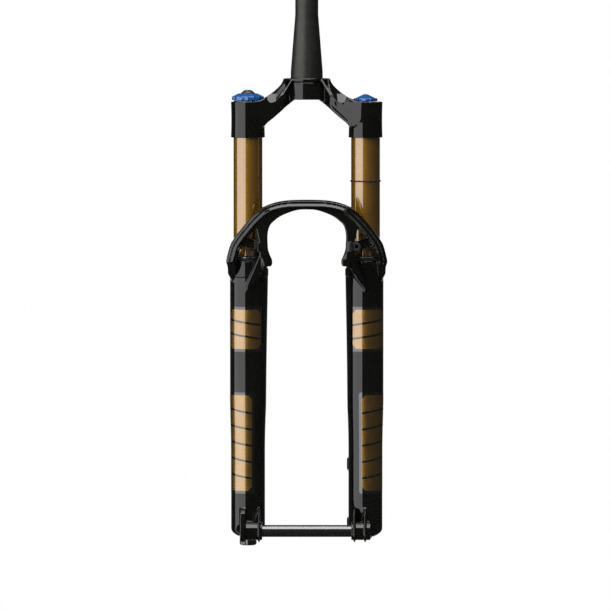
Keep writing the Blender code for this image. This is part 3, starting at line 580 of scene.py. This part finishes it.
CROWN_FRONT_EDGE += [(26, -26.5), (22, -20)]
CROWN_PLAN = [(-20, 27.8), *curve_through(CROWN_REAR_EDGE), *curve_through(CROWN_FRONT_EDGE), (-20, -20)]


def crown_field(x, y, z):
    """The crown: arms kept inside a front and a plan outline, a round hub and two sockets.
    a is the distance from the middle, and v the distance behind the steerer's axis."""
    a, v = np.abs(x), y - STEERER_Y
    from_steerer = np.hypot(a, v)
    arms = smax(outline_distance(a, z, CROWN_FRONT), outline_distance(a, v, CROWN_PLAN), 4.0)
    # The arm thins from behind towards its foot.
    under_rear = 0.61 * (v + 10 - 1.3 * (z + 60))
    arms = smax(arms, under_rear, 5.0)
    hub = smax(from_steerer - CROWN_HUB_R, np.maximum(z - CROWN_HUB_TOP_Z, CROWN_FOOT_Z - z), 1.5)
    lip = smax(from_steerer - CROWN_LIP_R, np.maximum(z, CROWN_LIP_FOOT_Z - z), 1.6)
    neck = np.maximum(from_steerer - CROWN_NECK_R, np.maximum(z, CROWN_FOOT_Z - z))
    hub = np.maximum(np.minimum(hub, np.minimum(lip, neck)), v - 6)
    body = smin(arms, hub, 2.5)
    # Ribs run down the front of each arm from the lip to the socket, below a widening scoop.
    rib = bar_distance(a, v, z, (19.0, -23.0, -3.0), (29.5, -31.5, -21.0), 1.6)
    rib = smin(rib, bar_distance(a, v, z, (29.5, -31.5, -21.0), (44, -34.4, -30.0), 1.6, 0.6), 2.0)
    body = smin(body, rib, 2.4)
    scoop = bar_distance(a, v, z, (25.5, -32.5, -1.0), (43, -37.5, -21.0), 5.6, 9.0)
    end_wall = 0.12 * (a - 43) + 0.83 * (v + 34.5) - 0.5 * (z + 29)
    body = smax(body, -smax(scoop, end_wall, 2.0), 1.4)
    # A groove follows the arm's lower front edge, and a shallower scoop lightens its rear.
    under = bar_distance(a, v, z, (27, -32.8, -29.5), (51, -37.6, -52.0), 1.7, 1.2)
    body = smax(body, -under, 1.2)
    rear_scoop = bar_distance(a, v, z, (20, 29, -12), (47, 12.5, -33), 7.5)
    body = smax(body, -rear_scoop, 2.0)
    from_tube = np.hypot(a - LEG_X, y - LEG_Y)
    along = (2 * z - SOCKET_TOP_Z - SOCKET_FOOT_Z) / (SOCKET_TOP_Z - SOCKET_FOOT_Z)
    waist = SOCKET_R - SOCKET_WAIST * np.clip(1 - along**2, 0, 1)
    socket = smax(from_tube - waist, np.maximum(z - SOCKET_TOP_Z, SOCKET_FOOT_Z - z), 1.6)
    body = smin(body, socket, 3.5)
    body = smax(body, np.maximum(z, SOCKET_FOOT_Z - z), 1.4)
    dial_room = np.maximum(from_tube - DIAL_ROOM_R, SOCKET_TOP_Z - z)
    body = smax(body, -dial_room, 0.8)
    body = smax(body, TUBE_R + BORE_GAP - from_tube, 0.8)
    return smax(body, RACE_R + BORE_GAP - from_steerer, 0.8)


def make_crown():
    x = grid_lines(-97, (97, 1.0))
    y = grid_lines(-21, (54, 1.0))
    z = grid_lines(-75, (2, 1.0))
    stand_for(surfaced("crown_forging", crown_field, (x, y, z)), "crown")


# ---------------------------------------------------------------- lower casting

ARCH_RIM = [(-20, -149.6), (0, -149.0), (29, -150.3), (51.0, -156.6), (66.4, -168.3), (80.3, -184.3)]
ARCH_RIM += [(89.3, -196.2), (94.3, -204.6), (97.9, -217), (99.3, -223.5), (99.5, -226.8)]
ARCH_RIM += [(98.1, -231.5), (97.6, -236), (97.5, -240.8), (95.9, -244.2), (94.6, -247)]
ARCH_RIM = curve_through(ARCH_RIM)
ARCH_GAP = [(89.8, -247), (87.6, -230), (85.0, -217), (81.0, -209.6), (76, -207.6), (68, -210)]
ARCH_GAP = curve_through([*ARCH_GAP, (58.8, -214.2)])
ARCH_TAIL_OUTER = [(58.6, -217), (65.5, -234), (75.0, -256)]
ARCH_TAIL_INNER = curve_through([(72.2, -262.5), (61.4, -248.7), (54.4, -234), (48.4, -220)])
ARCH_OPENING = [(48.1, -205), (48.2, -192), (45.6, -181.2), (39.4, -174.5), (30.2, -168.2)]
ARCH_OPENING = curve_through([*ARCH_OPENING, (13.6, -162.1), (0, -161.0), (-20, -162.4)])
ARCH = [*ARCH_RIM, (92, -252), *ARCH_GAP, *ARCH_TAIL_OUTER, (74.6, -262), *ARCH_TAIL_INNER, *ARCH_OPENING]
ARCH_WINDOW = [(62.6, -185.6), (73.4, -194.6), (73.4, -195.5), (59.2, -201.3)]
ARCH_LUG = [(50, -208.5), (47.9, -212.5), (42.7, -223.2), (42.4, -227.8), (43.8, -231.2), (54, -232.7)]
ARCH_LUG += [(56, -212)]

# How far each front surface stands ahead of the leg's axis, by height.
WEB_FRONT = [(-270, -24.5), (-262, -25.5), (-252, -27.5), (-240, -31), (-228, -37), (-216, -43)]
WEB_FRONT += [(-205, -44), (-196, -44), (-185, -45.5), (-165, -47), (-145, -46.5)]
RAIL_FRONT = [(-262, -8), (-252, -14), (-240, -25), (-228, -35.5), (-216, -43), (-205, -46.5)]
RAIL_FRONT += [(-196, -48), (-180, -49.6), (-160, -50), (-145, -49.5)]
# Two stepped ridges inside the rim, on the limbs and on the crest: how far the front lies
# back, by distance from the rim.
RAIL_STEPS = [(0, 5.4), (3.1, 2.9), (4.0, 2.7), (4.9, 3.6), (8.2, 0.5), (9.0, 0.4), (10.4, 3.6), (12, 4.4)]
CREST_STEPS = [(0, 5.4), (1.9, 3.0), (4.6, 3.2), (7.2, 1.1), (9.2, 0.7), (10.4, 3.6), (12, 4.4)]
ARCH_REAR = -24.5
ARCH_WALL, ARCH_SKIN = 3.4, 6.5
CROWN_CLEAR_Z = -214.2


def arch_field(a, v, z):
    """The arch, as a slab between a sculpted front and a hollowed rear, in a front outline."""
    outline = outline_distance(a, z, ARCH)
    outline = smax(outline, -outline_distance(a, z, ARCH_WINDOW), 1.0)
    rim = curve_distance(a, z, ARCH_RIM)
    limb_steps = np.interp(rim, *np.array(RAIL_STEPS).T)
    crest_steps = np.interp(rim, *np.array(CREST_STEPS).T)
    steps = limb_steps + (crest_steps - limb_steps) * smooth_step(-172, -160, z)
    fade = smooth_step(-236, -214, z)
    rail = follow(z, RAIL_FRONT) + steps * (0.35 + 0.65 * fade)
    on_limb = smooth_step(79, 85, a) * smooth_step(-205, -213, z)
    web = follow(z, WEB_FRONT)
    web = web + (follow(z, RAIL_FRONT) + 3.2 - web) * on_limb
    front = rail + (web - rail) * smooth_step(8.8, 11.6, rim)
    brace = curve_distance(a, z, [(61, -207.5), (80, -202)])
    on_brace = smooth_step(7.5, 4.5, brace) * smooth_step(60, 64.5, a)
    front = front + 6.5 * on_brace * smooth_step(9.5, 11.5, rim)
    rear = np.where(z > CROWN_CLEAR_Z, ARCH_REAR, -1.0)
    slab = smax(smax(outline, front - v, 3.2), v - rear, 1.6)
    hollow = smax(outline + ARCH_WALL, front + ARCH_SKIN - v, 2.0)
    hollow = smax(hollow, CROWN_CLEAR_Z + 6 - z, 2.0)
    return smax(slab, -hollow, 1.4)


def lug_field(a, v, z):
    return smax(outline_distance(a, z, ARCH_LUG), np.abs(v + 31) - 9.5, 4.0)


LEG_TOP_R, LEG_LOW_R, COLLAR_R = 22.4, 21.15, 24.05
DOME_Z, DOME_DROP = -558.0, 12.3
LEG_RADIUS = [(-600, LEG_LOW_R), (-458, LEG_LOW_R), (-440, 21.4), (-410, 22.2), (-395, LEG_TOP_R)]
LEG_RADIUS += [(-246.3, LEG_TOP_R), (-245.0, COLLAR_R), (-220, COLLAR_R)]
CHANNEL_R = 17.6


def leg_field(a, v, z):
    """One leg with its collar, domed foot and the rounded channel down its inner rear."""
    u = a - LEG_X
    heights, radii = np.array(LEG_RADIUS).T
    from_axis = np.hypot(u, v)
    tube = smax(from_axis - np.interp(z, heights, radii), z - COLLAR_TOP_Z, 0.9)
    dome = np.hypot(from_axis / LEG_LOW_R, (z - DOME_Z) / DOME_DROP)
    leg = np.where(z < DOME_Z, (dome - 1) * DOME_DROP, tube)
    fade = np.clip((-250 - z) / 160, 0, 1)
    channel = np.hypot(u + 7.3 - 3.2 * fade, v - 3 + 2 * fade) - CHANNEL_R
    collar = smax(channel - 0.4, np.maximum(z + 236, -244.5 - z), 1.0)
    channel = smax(smax(channel, z + 244, 1.0), -422 - z, 16.0)
    return smin(leg, np.minimum(channel, collar), 3.0)


FLANGE_R, BOSS_R, RIB_TOP_Z = 13.9, 11.3, -533.5
INNER_FLANGE_X = 59.0
OUTER_FLANGE_X = {"right": 79.2, "left": 72.2}
OUTER_FLANGE_HALF = {"right": 3.6, "left": 1.25}
HUB_FACE_X, BOSS_END_X = 55.0, 79.0


def dropout_field(x, v, z):
    """Two flanges with ribs up the leg's front, slanted struts beside them, and the axle's boss
    between them."""
    a = np.abs(x)
    ahead = v + LEG_Y - AXLE_Y
    from_axle = np.hypot(ahead, z - AXLE_Z)
    outer = np.where(x < 0, OUTER_FLANGE_X["right"], OUTER_FLANGE_X["left"])
    rib_outline = [(-34.6, -560), (-34.4, -543), (-32.5, -537.5), (-27.5, RIB_TOP_Z - 0.7)]
    rib_outline += [(-18, RIB_TOP_Z + 2.5), (-10, -560)]
    flange = smin(from_axle - FLANGE_R, outline_distance(v, z, rib_outline), 5.0)
    half = np.where(x < 0, OUTER_FLANGE_HALF["right"], OUTER_FLANGE_HALF["left"])
    from_flange = np.minimum(np.abs(a - INNER_FLANGE_X) - 1.25, np.abs(a - outer) - half)
    flanges = smax(flange, from_flange, 2.0)
    boss = smax(from_axle - BOSS_R, np.maximum(HUB_FACE_X - a, a - BOSS_END_X), 1.2)
    right_strut = bar_distance(a, v, z, (58.5, -18.8, -531), (63.8, -21.4, -547.5), 1.0)
    left_strut = bar_distance(a, v, z, (73.2, -21.2, -533), (67.6, -21.6, -546), 1.0)
    flanges = smin(flanges, np.where(x < 0, right_strut, left_strut), 0.8)
    web = np.maximum(np.abs(z - AXLE_Z) - 9.0, np.maximum(ahead - 20, -1 - ahead))
    web = np.maximum(web, np.maximum(INNER_FLANGE_X - a, a - 77))
    return smin(smin(boss, flanges, 1.4), web, 1.5)


POST_X, POST_HALF, POST_FACE = 57.0, 7.0, 26.0
POST_HEIGHTS = (-478.5, -552.7)
BLEEDER_Z, BLEEDER_FACE = -264.0, 26.5


def post_field(x, v, z):
    """The two rear brake posts and the web between them, on the rider's left leg."""
    across = np.abs(x - POST_X) - POST_HALF
    posts = [smax(across, np.abs(z - height) - POST_HALF, 3.0) for height in POST_HEIGHTS]
    posts = smax(smin(*posts, 3.0), np.maximum(v - POST_FACE, 2 - v), 1.2)
    web = np.maximum(np.abs(x - POST_X - 1) - 3.2, np.maximum(v - 16, 2 - v))
    middle_z = sum(POST_HEIGHTS) / 2
    arched = 16.5 - 7 * np.clip(1 - ((z - middle_z) / 30) ** 2, 0, 1)
    web = smax(np.maximum(web, v - arched), np.abs(z - middle_z) - 40, 2.0)
    return smin(posts, web, 4.0)


GUIDE_SCREW_X = middle("hose_guide_screw").x / MM
GUIDE_SCREW_Z = middle("hose_guide_screw").z / MM
GUIDE_EAR_R, GUIDE_HOLE_R = 5.2, 2.3
AXLE_BORE_R, AXLE_NUT_BORE_R, AXLE_NUT_X = 7.8, 9.6, -58
POST_HOLE_R, POST_HOLE_DEPTH = 2.6, 9
BLEEDER_BOSS_R, BLEEDER_HOLE_R, BLEEDER_FLOOR = 5.8, 3.7, 20.7
# Each leg's bores as (radius, top, foot): the room over the collar, the seats of the wiper
# and the bushings, the oil bore, and the foot nut's hole with its counterbore.
ABOVE_Z, BELOW_Z = -190, -600
FOOT_HOLE_R = 5.3
LEG_BORES = [(24.0, ABOVE_Z, COLLAR_TOP_Z), (21.5, ABOVE_Z, -244), (19.8, ABOVE_Z, -372)]
LEG_BORES += [(18.8, ABOVE_Z, -548), (FOOT_HOLE_R, ABOVE_Z, BELOW_Z), (9.2, -563, BELOW_Z)]


def casting_bores(x, a, v, z, from_leg):
    """Everything that is cut from the casting: distances that are negative in the holes."""
    bores = [slice_distance(from_leg, r, z, top, foot) for r, top, foot in LEG_BORES]
    cut = np.minimum.reduce(bores)
    from_axle = np.hypot(v + LEG_Y - AXLE_Y, z - AXLE_Z)
    cut = np.minimum(cut, np.maximum(from_axle - AXLE_BORE_R, 50 - a))
    cut = np.minimum(cut, np.maximum(from_axle - AXLE_NUT_BORE_R, x - AXLE_NUT_X))
    for height in POST_HEIGHTS:
        hole = np.hypot(x - POST_X, z - height) - POST_HOLE_R
        cut = np.minimum(cut, np.maximum(hole, POST_FACE - POST_HOLE_DEPTH - v))
    button = np.hypot(a - LEG_X, z - BLEEDER_Z) - BLEEDER_HOLE_R
    cut = np.minimum(cut, np.maximum(button, BLEEDER_FLOOR - v))
    screw = np.hypot(x - GUIDE_SCREW_X, z - GUIDE_SCREW_Z) - GUIDE_HOLE_R
    return np.minimum(cut, np.maximum(screw, v + 35))


def casting_field(x, y, z):
    """The one-piece lower casting: two legs, the arch between them, lugs, posts and dropouts."""
    a, v = np.abs(x), y - LEG_Y
    from_leg = np.hypot(a - LEG_X, v)
    body = smin(leg_field(a, v, z), arch_field(a, v, z), 3.0)
    body = smin(body, lug_field(a, v, z), 6.0)
    body = smin(body, dropout_field(x, v, z), 3.0)
    body = smin(body, post_field(x, v, z), 5.0)
    bleeder = np.hypot(a - LEG_X, z - BLEEDER_Z) - BLEEDER_BOSS_R
    body = smin(body, smax(bleeder, np.maximum(v - BLEEDER_FACE, 10 - v), 1.0), 3.0)
    screw_pad = np.hypot(x - GUIDE_SCREW_X, z - GUIDE_SCREW_Z) - GUIDE_EAR_R
    body = smin(body, smax(screw_pad, np.maximum(-44 - v, v + 28), 0.8), 1.5)
    return smax(body, -casting_bores(x, a, v, z, from_leg), 0.7)


def make_lower_casting():
    x = grid_lines(-102, (102, 1.15))
    y = grid_lines(-51, (33, 1.15))
    z = grid_lines(-577, (-524, 1.2), (-475, 2.5), (-467, 2.0), (-276, 7.5), (-262, 1.4), (-145, 1.1))
    stand_for(surfaced("lower_casting_skin", casting_field, (x, y, z)), "lower_casting")


# ---------------------------------------------------------------- graphics on the legs


def leg_reach(side, angle, height):
    """How far the casting's skin lies from the leg's axis, out at an angle from its front."""
    near = np.full(len(angle), 17.0)
    far = np.full(len(angle), 27.0)
    for _ in range(24):
        reach = (near + far) / 2
        x = side * (LEG_X + reach * np.sin(angle))
        y = LEG_Y - reach * np.cos(angle)
        inside = casting_skin(x, y, height) < 0
        near, far = np.where(inside, reach, near), np.where(inside, far, reach)
    return reach


def casting_skin(x, y, z):
    return leg_field(np.abs(x), y - LEG_Y, z)


def film(name, finish, side, shapes, proud):
    """A thin film on a leg, from flat outlines of (mm outward round the leg, mm up)."""
    builder = bmesh.new()
    for shape in shapes:
        builder.faces.new([builder.verts.new((u, 0, z)) for u, z in shape])
    for axis, spacing in ((0, 1.2), (2, 6.0)):
        places = [v.co[axis] for v in builder.verts]
        for place in np.arange(min(places) + spacing, max(places), spacing):
            point, normal = [0, 0, 0], [0, 0, 0]
            point[axis], normal[axis] = place, 1
            parts = builder.verts[:] + builder.edges[:] + builder.faces[:]
            bmesh.ops.bisect_plane(builder, geom=parts, plane_co=point, plane_no=normal, dist=1e-5)
    across = np.array([v.co.x for v in builder.verts])
    height = np.array([v.co.z for v in builder.verts])
    angle = across / LEG_TOP_R
    reach = leg_reach(side, angle, height) + proud
    for vert, t, r, z in zip(builder.verts, angle, reach, height):
        vert.co = (side * (LEG_X + r * sin(t)) * MM, (LEG_Y - r * cos(t)) * MM, z * MM)
    bmesh.ops.recalc_face_normals(builder, faces=builder.faces)
    sample = max(builder.faces, key=lambda face: face.calc_area())
    outward = sample.calc_center_median() - Vector((side * LEG.x, LEG.y, sample.calc_center_median().z))
    if sample.normal.dot(outward) < 0:
        bmesh.ops.reverse_faces(builder, faces=builder.faces)
    mesh = bpy.data.meshes.new(name)
    builder.to_mesh(mesh)
    builder.free()
    mesh.shade_smooth()
    mesh.materials.append(FINISHES[finish])
    obj = link(bpy.data.objects.new(name, mesh))
    solid = obj.modifiers.new("Film", "SOLIDIFY")
    solid.thickness = 0.25 * MM
    solid.offset = -1
    bake_modifiers(obj)
    obj.data.set_sharp_from_angle(angle=radians(35))
    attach(obj, BODY["lower_casting"])


def slotted_block(left, right, top, bottom, count, gap, lean, corner):
    """An upright block with cut corners, split by slanted slots: a plain geometric mark."""
    pitch = (top - bottom + gap) / count
    pieces = []
    for i in range(count):
        head, foot = top - i * pitch, top - (i + 1) * pitch + gap
        if i:
            upper = [(left, head - lean / 2), (right, head + lean / 2)]
        else:
            upper = [(left, top - corner), (left + corner, top)]
            upper += [(right - corner, top), (right, top - corner)]
        if i < count - 1:
            lower = [(right, foot + lean / 2), (left, foot - lean / 2)]
        else:
            lower = [(right, bottom + corner), (right - corner, bottom)]
            lower += [(left + corner, bottom), (left, bottom + corner)]
        pieces.append(upper + lower)
    return pieces


def panel(left, right, top, bottom, corner):
    """An upright panel with cut corners."""
    return slotted_block(left, right, top, bottom, 1, 0, 0, corner)[0]


# The gold marks, in millimetres outward round the leg from its front and up it.
UPPER_MARK = {"left": -17.5, "right": 28.0, "top": -286.0, "bottom": -334.5}
LOWER_MARK = {"left": -5.0, "right": 36.0, "top": -392.0, "bottom": -510.5}
MARK_BORDER = 3.5
SLOT_GAP, SLOT_LEAN, CUT_CORNER = 2.6, 7.0, 5.0


def make_graphics():
    for side, label in ((-1, "right"), (1, "left")):
        for place, mark, count in (("upper", UPPER_MARK, 3), ("lower", LOWER_MARK, 6)):
            left, right, top, bottom = mark["left"], mark["right"], mark["top"], mark["bottom"]
            border = MARK_BORDER
            back = panel(left - border, right + border, top + border, bottom - border, 2.0)
            film(f"{place}_mark_backing_{label}", "decal_film", side, [back], 0.06)
            pieces = slotted_block(left, right, top, bottom, count, SLOT_GAP, SLOT_LEAN, CUT_CORNER)
            film(f"{place}_mark_{label}", "gold_print", side, pieces, 0.14)


# ---------------------------------------------------------------- dials, caps and small pieces


def fluted(count, depth, beyond, crisp=False):
    """Flutes round the outer tier of a dial: a shape for spun(). Crisp ones meet in ridges."""

    def shape(angles, radius):
        share = smooth_step(beyond[0] * MM, beyond[1] * MM, np.full(len(angles), radius))
        soft = (0.5 - 0.5 * np.cos(angles * count)) ** 2
        wave = np.abs(np.sin(angles * count / 2)) if crisp else soft
        return radius - depth * MM * wave * share

    return shape


def make_dials():
    respun("high_speed_dial", segments=192, edge=0.5, shape=fluted(16, 0.9, (10, 16), crisp=True))
    respun("low_speed_dial", segments=144, edge=0.5, shape=fluted(18, 0.5, (5.5, 8.4)))
    respun("dial_screw", segments=48, edge=0.3)
    respun("valve_cap", segments=180, edge=0.9, shape=fluted(12, 0.8, (12, 15), crisp=True))
    respun("rebound_dial", segments=144, edge=0.6, shape=fluted(12, 0.7, (9, 10.4)))


def make_upper_pieces():
    respun("steerer_tube", segments=128, edge=0.6)
    for label in ("right", "left"):
        respun(f"upper_tube_{label}", segments=128, edge=0.5)
    for node in ("damper_top_cap", "air_top_cap"):
        respun(node)
    for node in ("valve_stem", "valve_core"):
        respun(node, segments=48, edge=0.25)
    respun("travel_ring", edge=0.25)


def make_seals():
    for label in ("right", "left"):
        respun(f"dust_wiper_{label}", segments=112)
        respun(f"wiper_spring_{label}", edge=0.12)


def hexed(corner):
    """A hexagon of one corner radius, in place of the outer circle."""

    def shape(angles, radius):
        within = (angles % (pi / 3)) - pi / 6
        flat = corner * MM * cos(pi / 6) / np.cos(within)
        return np.minimum(radius, flat) if radius > corner * 0.8 * MM else np.full(len(angles), radius)

    return shape


def make_foot_fasteners():
    for side, label in ((-1, "right"), (1, "left")):
        node = f"foot_nut_{label}"
        low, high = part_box(node)
        outer, bore = (high.x - low.x) / 2, FOOT_HOLE_R * MM
        profile = [(outer, high.z), (outer, low.z), (bore, low.z), (bore, high.z)]
        outline = rounded(profile, True, 0.5 * MM)
        centre = Vector((side * LEG.x, LEG.y, 0))
        nut = spun(f"{node}_skin", outline, True, centre, shape=hexed(outer / MM))
        stand_for(nut, node)
        respun(f"crush_washer_{label}", segments=64, edge=0.25)
        respun(f"bleeder_{label}", axis="Y", segments=48, edge=0.35)


SHANK_END_X, THREAD_START_X = -56.9, -58.2
THREAD_R, THREAD_DEPTH, THREAD_PITCH = 6.6, 0.75, 1.5
KEY_R, KEY_DEPTH = 3.46, 10.5


def make_axle():
    """The axle, with its thread and with a hexagon for a key cut into its head."""
    low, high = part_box("axle")
    radius, thread = (high.z - low.z) / 2, THREAD_R * MM
    profile = [(0, high.x), (radius - 0.6 * MM, high.x), (radius, high.x - 0.6 * MM)]
    profile += [(radius, SHANK_END_X * MM), (thread, (SHANK_END_X - 0.8) * MM)]
    pitch = THREAD_PITCH * MM
    place = THREAD_START_X * MM
    while place > low.x + 1.6 * MM:
        profile += [(thread, place), (thread - THREAD_DEPTH * MM, place - pitch / 2)]
        place -= pitch
    profile += [(thread - 0.2 * MM, place), (thread - 1.0 * MM, low.x), (0, low.x)]
    outline = rounded(profile, False, 0.25 * MM)
    centre = Vector((0, AXLE.y, AXLE.z))
    axle = spun("axle_skin", outline, False, centre, "X")
    key, mouth, floor = KEY_R * MM, high.x + 0.01, high.x - KEY_DEPTH * MM
    socket = [(0, mouth), (key, mouth), (key, floor), (0, floor - 1.5 * MM)]
    cutter = spun("axle_socket_cutter", socket, False, centre, "X", 6)
    cut = axle.modifiers.new("Hexagon", "BOOLEAN")
    cut.operation = "DIFFERENCE"
    cut.object = cutter
    axle.modifiers.move(1, 0)
    bake_modifiers(axle)
    bpy.data.objects.remove(cutter)
    stand_for(axle, "axle")
    respun("axle_nut", axis="X")


GUIDE_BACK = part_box("hose_guide")[1].y / MM
GUIDE_LOOP_R = 3.9
GUIDE_LOOP_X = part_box("hose_guide")[0].x / MM + GUIDE_LOOP_R


def guide_field(x, y, z):
    """The hose guide: a flat ear under its screw and a split loop for the hose."""
    up = z - GUIDE_SCREW_Z
    round_end = np.hypot(np.maximum(x - GUIDE_SCREW_X, 0), up) - GUIDE_EAR_R
    ear = smax(np.maximum(round_end, GUIDE_LOOP_X - x), np.abs(y - GUIDE_BACK + 1.5) - 1.5, 0.7)
    from_hose = np.hypot(x - GUIDE_LOOP_X, y - GUIDE_BACK + 4.15)
    loop = smax(from_hose - GUIDE_LOOP_R, np.abs(up) - 6.4, 1.2)
    body = smax(smin(ear, loop, 1.6), 2.6 - from_hose, 0.5)
    body = smax(body, GUIDE_HOLE_R - np.hypot(x - GUIDE_SCREW_X, up), 0.4)
    return smax(body, y - GUIDE_BACK, 0.3)


def make_hose_guide():
    low, high = (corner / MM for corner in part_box("hose_guide"))
    lines = [grid_lines(low[i] - 1.3, (high[i] + 1.3, 0.45)) for i in range(3)]
    stand_for(surfaced("hose_guide_skin", guide_field, lines, longest=0.2), "hose_guide")
    respun("hose_guide_screw", axis="Y", segments=48, edge=0.35)


RESPUN_INSIDES = ["damper_cartridge_tube", "base_valve", "floating_piston", "damper_seal_head"]
RESPUN_INSIDES += ["damper_shaft", "rebound_piston", "rebound_rod", "air_shaft", "air_piston"]
RESPUN_INSIDES += ["air_piston_seal", "air_seal_head", "top_out_bumper", "volume_spacer_1"]
RESPUN_INSIDES += ["volume_spacer_2"]
for name in ("foam_ring", "upper_bushing", "lower_bushing", "bottom_out_bumper"):
    RESPUN_INSIDES += [f"{name}_right", f"{name}_left"]


def make_insides():
    """Turned pieces inside the legs, and the finishes of the CAD nodes that stay."""
    for node in RESPUN_INSIDES:
        respun(node, segments=64, edge=0.3)
    for node in ("floating_piston_spring", "retaining_ring"):
        obj = frame["nodes"][node]
        obj.data.materials.clear()
        obj.data.materials.append(FINISHES[SLOT[node]])


# ---------------------------------------------------------------- studio


VIEW_TARGET = Vector((-0.00216, STEERER.y, -0.2822))
VIEW_ELEVATION = 3.0
VIEW_HEIGHT = 0.7573
LENS = 500.0
SIDE_REACH, TOP_REACH = 2.4, 2.2


def add_softbox(name, azimuth, elevation, reach, width, height, radiance):
    """A soft panel, at an azimuth left of the camera and an elevation, facing the target."""
    light = bpy.data.lights.new(name, "AREA")
    light.shape = "RECTANGLE"
    light.size, light.size_y = width, height
    light.energy = pi * width * height * radiance
    obj = link(bpy.data.objects.new(name, light))
    a, e = radians(azimuth), radians(elevation)
    away = Vector((-sin(a) * cos(e), -cos(a) * cos(e), sin(e)))
    obj.location = VIEW_TARGET + away * reach
    obj.rotation_euler = away.to_track_quat("Z", "Y").to_euler()
    obj.visible_camera = False


ROOM_FRONT, ROOM_BEHIND = 0.06, 0.04


def make_world():
    """White to the camera, and to everything else a dim room, darker behind the fork."""
    world = bpy.data.worlds.new("studio")
    bpy.context.scene.world = world
    world.use_nodes = True
    tree = world.node_tree
    tree.nodes.clear()
    output = tree.nodes.new("ShaderNodeOutputWorld")
    choose = tree.nodes.new("ShaderNodeMixShader")
    path = tree.nodes.new("ShaderNodeLightPath")
    white, room = (tree.nodes.new("ShaderNodeBackground") for _ in range(2))
    coords = tree.nodes.new("ShaderNodeTexCoord")
    split = tree.nodes.new("ShaderNodeSeparateXYZ")
    depth = tree.nodes.new("ShaderNodeMapRange")
    white.inputs["Color"].default_value = (1, 1, 1, 1)
    room.inputs["Color"].default_value = (1.0, 0.99, 0.96, 1)
    depth.inputs["From Min"].default_value = -0.3
    depth.inputs["From Max"].default_value = 0.5
    depth.inputs["To Min"].default_value = ROOM_FRONT
    depth.inputs["To Max"].default_value = ROOM_BEHIND
    links = tree.links
    links.new(coords.outputs["Generated"], split.inputs[0])
    links.new(split.outputs["Y"], depth.inputs["Value"])
    links.new(depth.outputs["Result"], room.inputs["Strength"])
    links.new(path.outputs["Is Camera Ray"], choose.inputs[0])
    links.new(room.outputs[0], choose.inputs[1])
    links.new(white.outputs[0], choose.inputs[2])
    links.new(choose.outputs[0], output.inputs["Surface"])


FLOOR_GAP = 0.012
FLOOR_HALF = 30.0


def make_floor():
    """A pale floor, evenly bright to the camera and left out of reflections."""
    mesh = bpy.data.meshes.new("floor")
    builder = bmesh.new()
    bmesh.ops.create_grid(builder, x_segments=1, y_segments=1, size=FLOOR_HALF)
    builder.to_mesh(mesh)
    builder.free()
    floor = link(bpy.data.objects.new("floor", mesh))
    floor.location.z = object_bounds()[0].z - FLOOR_GAP
    material = bpy.data.materials.new("pale_floor")
    material.use_nodes = True
    tree = material.node_tree
    shader = tree.nodes["Principled BSDF"]
    shader.inputs["Base Color"].default_value = (0.8, 0.8, 0.8, 1)
    shader.inputs["Roughness"].default_value = 0.9
    glow = tree.nodes.new("ShaderNodeEmission")
    glow.inputs["Color"].default_value = (1, 1, 1, 1)
    choose = tree.nodes.new("ShaderNodeMixShader")
    path = tree.nodes.new("ShaderNodeLightPath")
    tree.links.new(path.outputs["Is Camera Ray"], choose.inputs[0])
    tree.links.new(shader.outputs[0], choose.inputs[1])
    tree.links.new(glow.outputs[0], choose.inputs[2])
    tree.links.new(choose.outputs[0], tree.nodes["Material Output"].inputs["Surface"])
    mesh.materials.append(material)
    floor.visible_glossy = False


def make_camera():
    """A long lens from straight ahead, a little above level."""
    data = bpy.data.cameras.new("camera")
    data.lens = LENS
    data.sensor_width = 36.0
    data.clip_end = 100.0
    distance = VIEW_HEIGHT * LENS / data.sensor_width
    camera = link(bpy.data.objects.new("camera", data))
    tilt = radians(VIEW_ELEVATION)
    camera.location = VIEW_TARGET + distance * Vector((0, -cos(tilt), sin(tilt)))
    camera.rotation_euler = (pi / 2 - tilt, 0, 0)
    bpy.context.scene.camera = camera


def spanning(degrees, reach):
    """The length of a panel, at a reach, that fills this angle to each side of its middle."""
    return 2 * reach * tan(radians(degrees))


def make_studio():
    """A big panel at the left, a dim one behind and a bright one overhead."""
    make_camera()
    make_world()
    make_floor()
    width = spanning(38, SIDE_REACH)
    add_softbox("left_softbox", 57.5, 0, SIDE_REACH, width, 6.0, 2.1)
    width = spanning(20, SIDE_REACH)
    add_softbox("rear_softbox", 180, -8, SIDE_REACH, width, 2.2, 1.0)
    height = spanning(33, TOP_REACH)
    add_softbox("top_softbox", 0, 71, TOP_REACH, 1.9, height, 5.2)
    bpy.context.scene.view_settings.view_transform = "Standard"


make_crown()
make_lower_casting()
make_graphics()
make_dials()
make_upper_pieces()
make_seals()
make_foot_fasteners()
make_axle()
make_hose_guide()
make_insides()
make_studio()
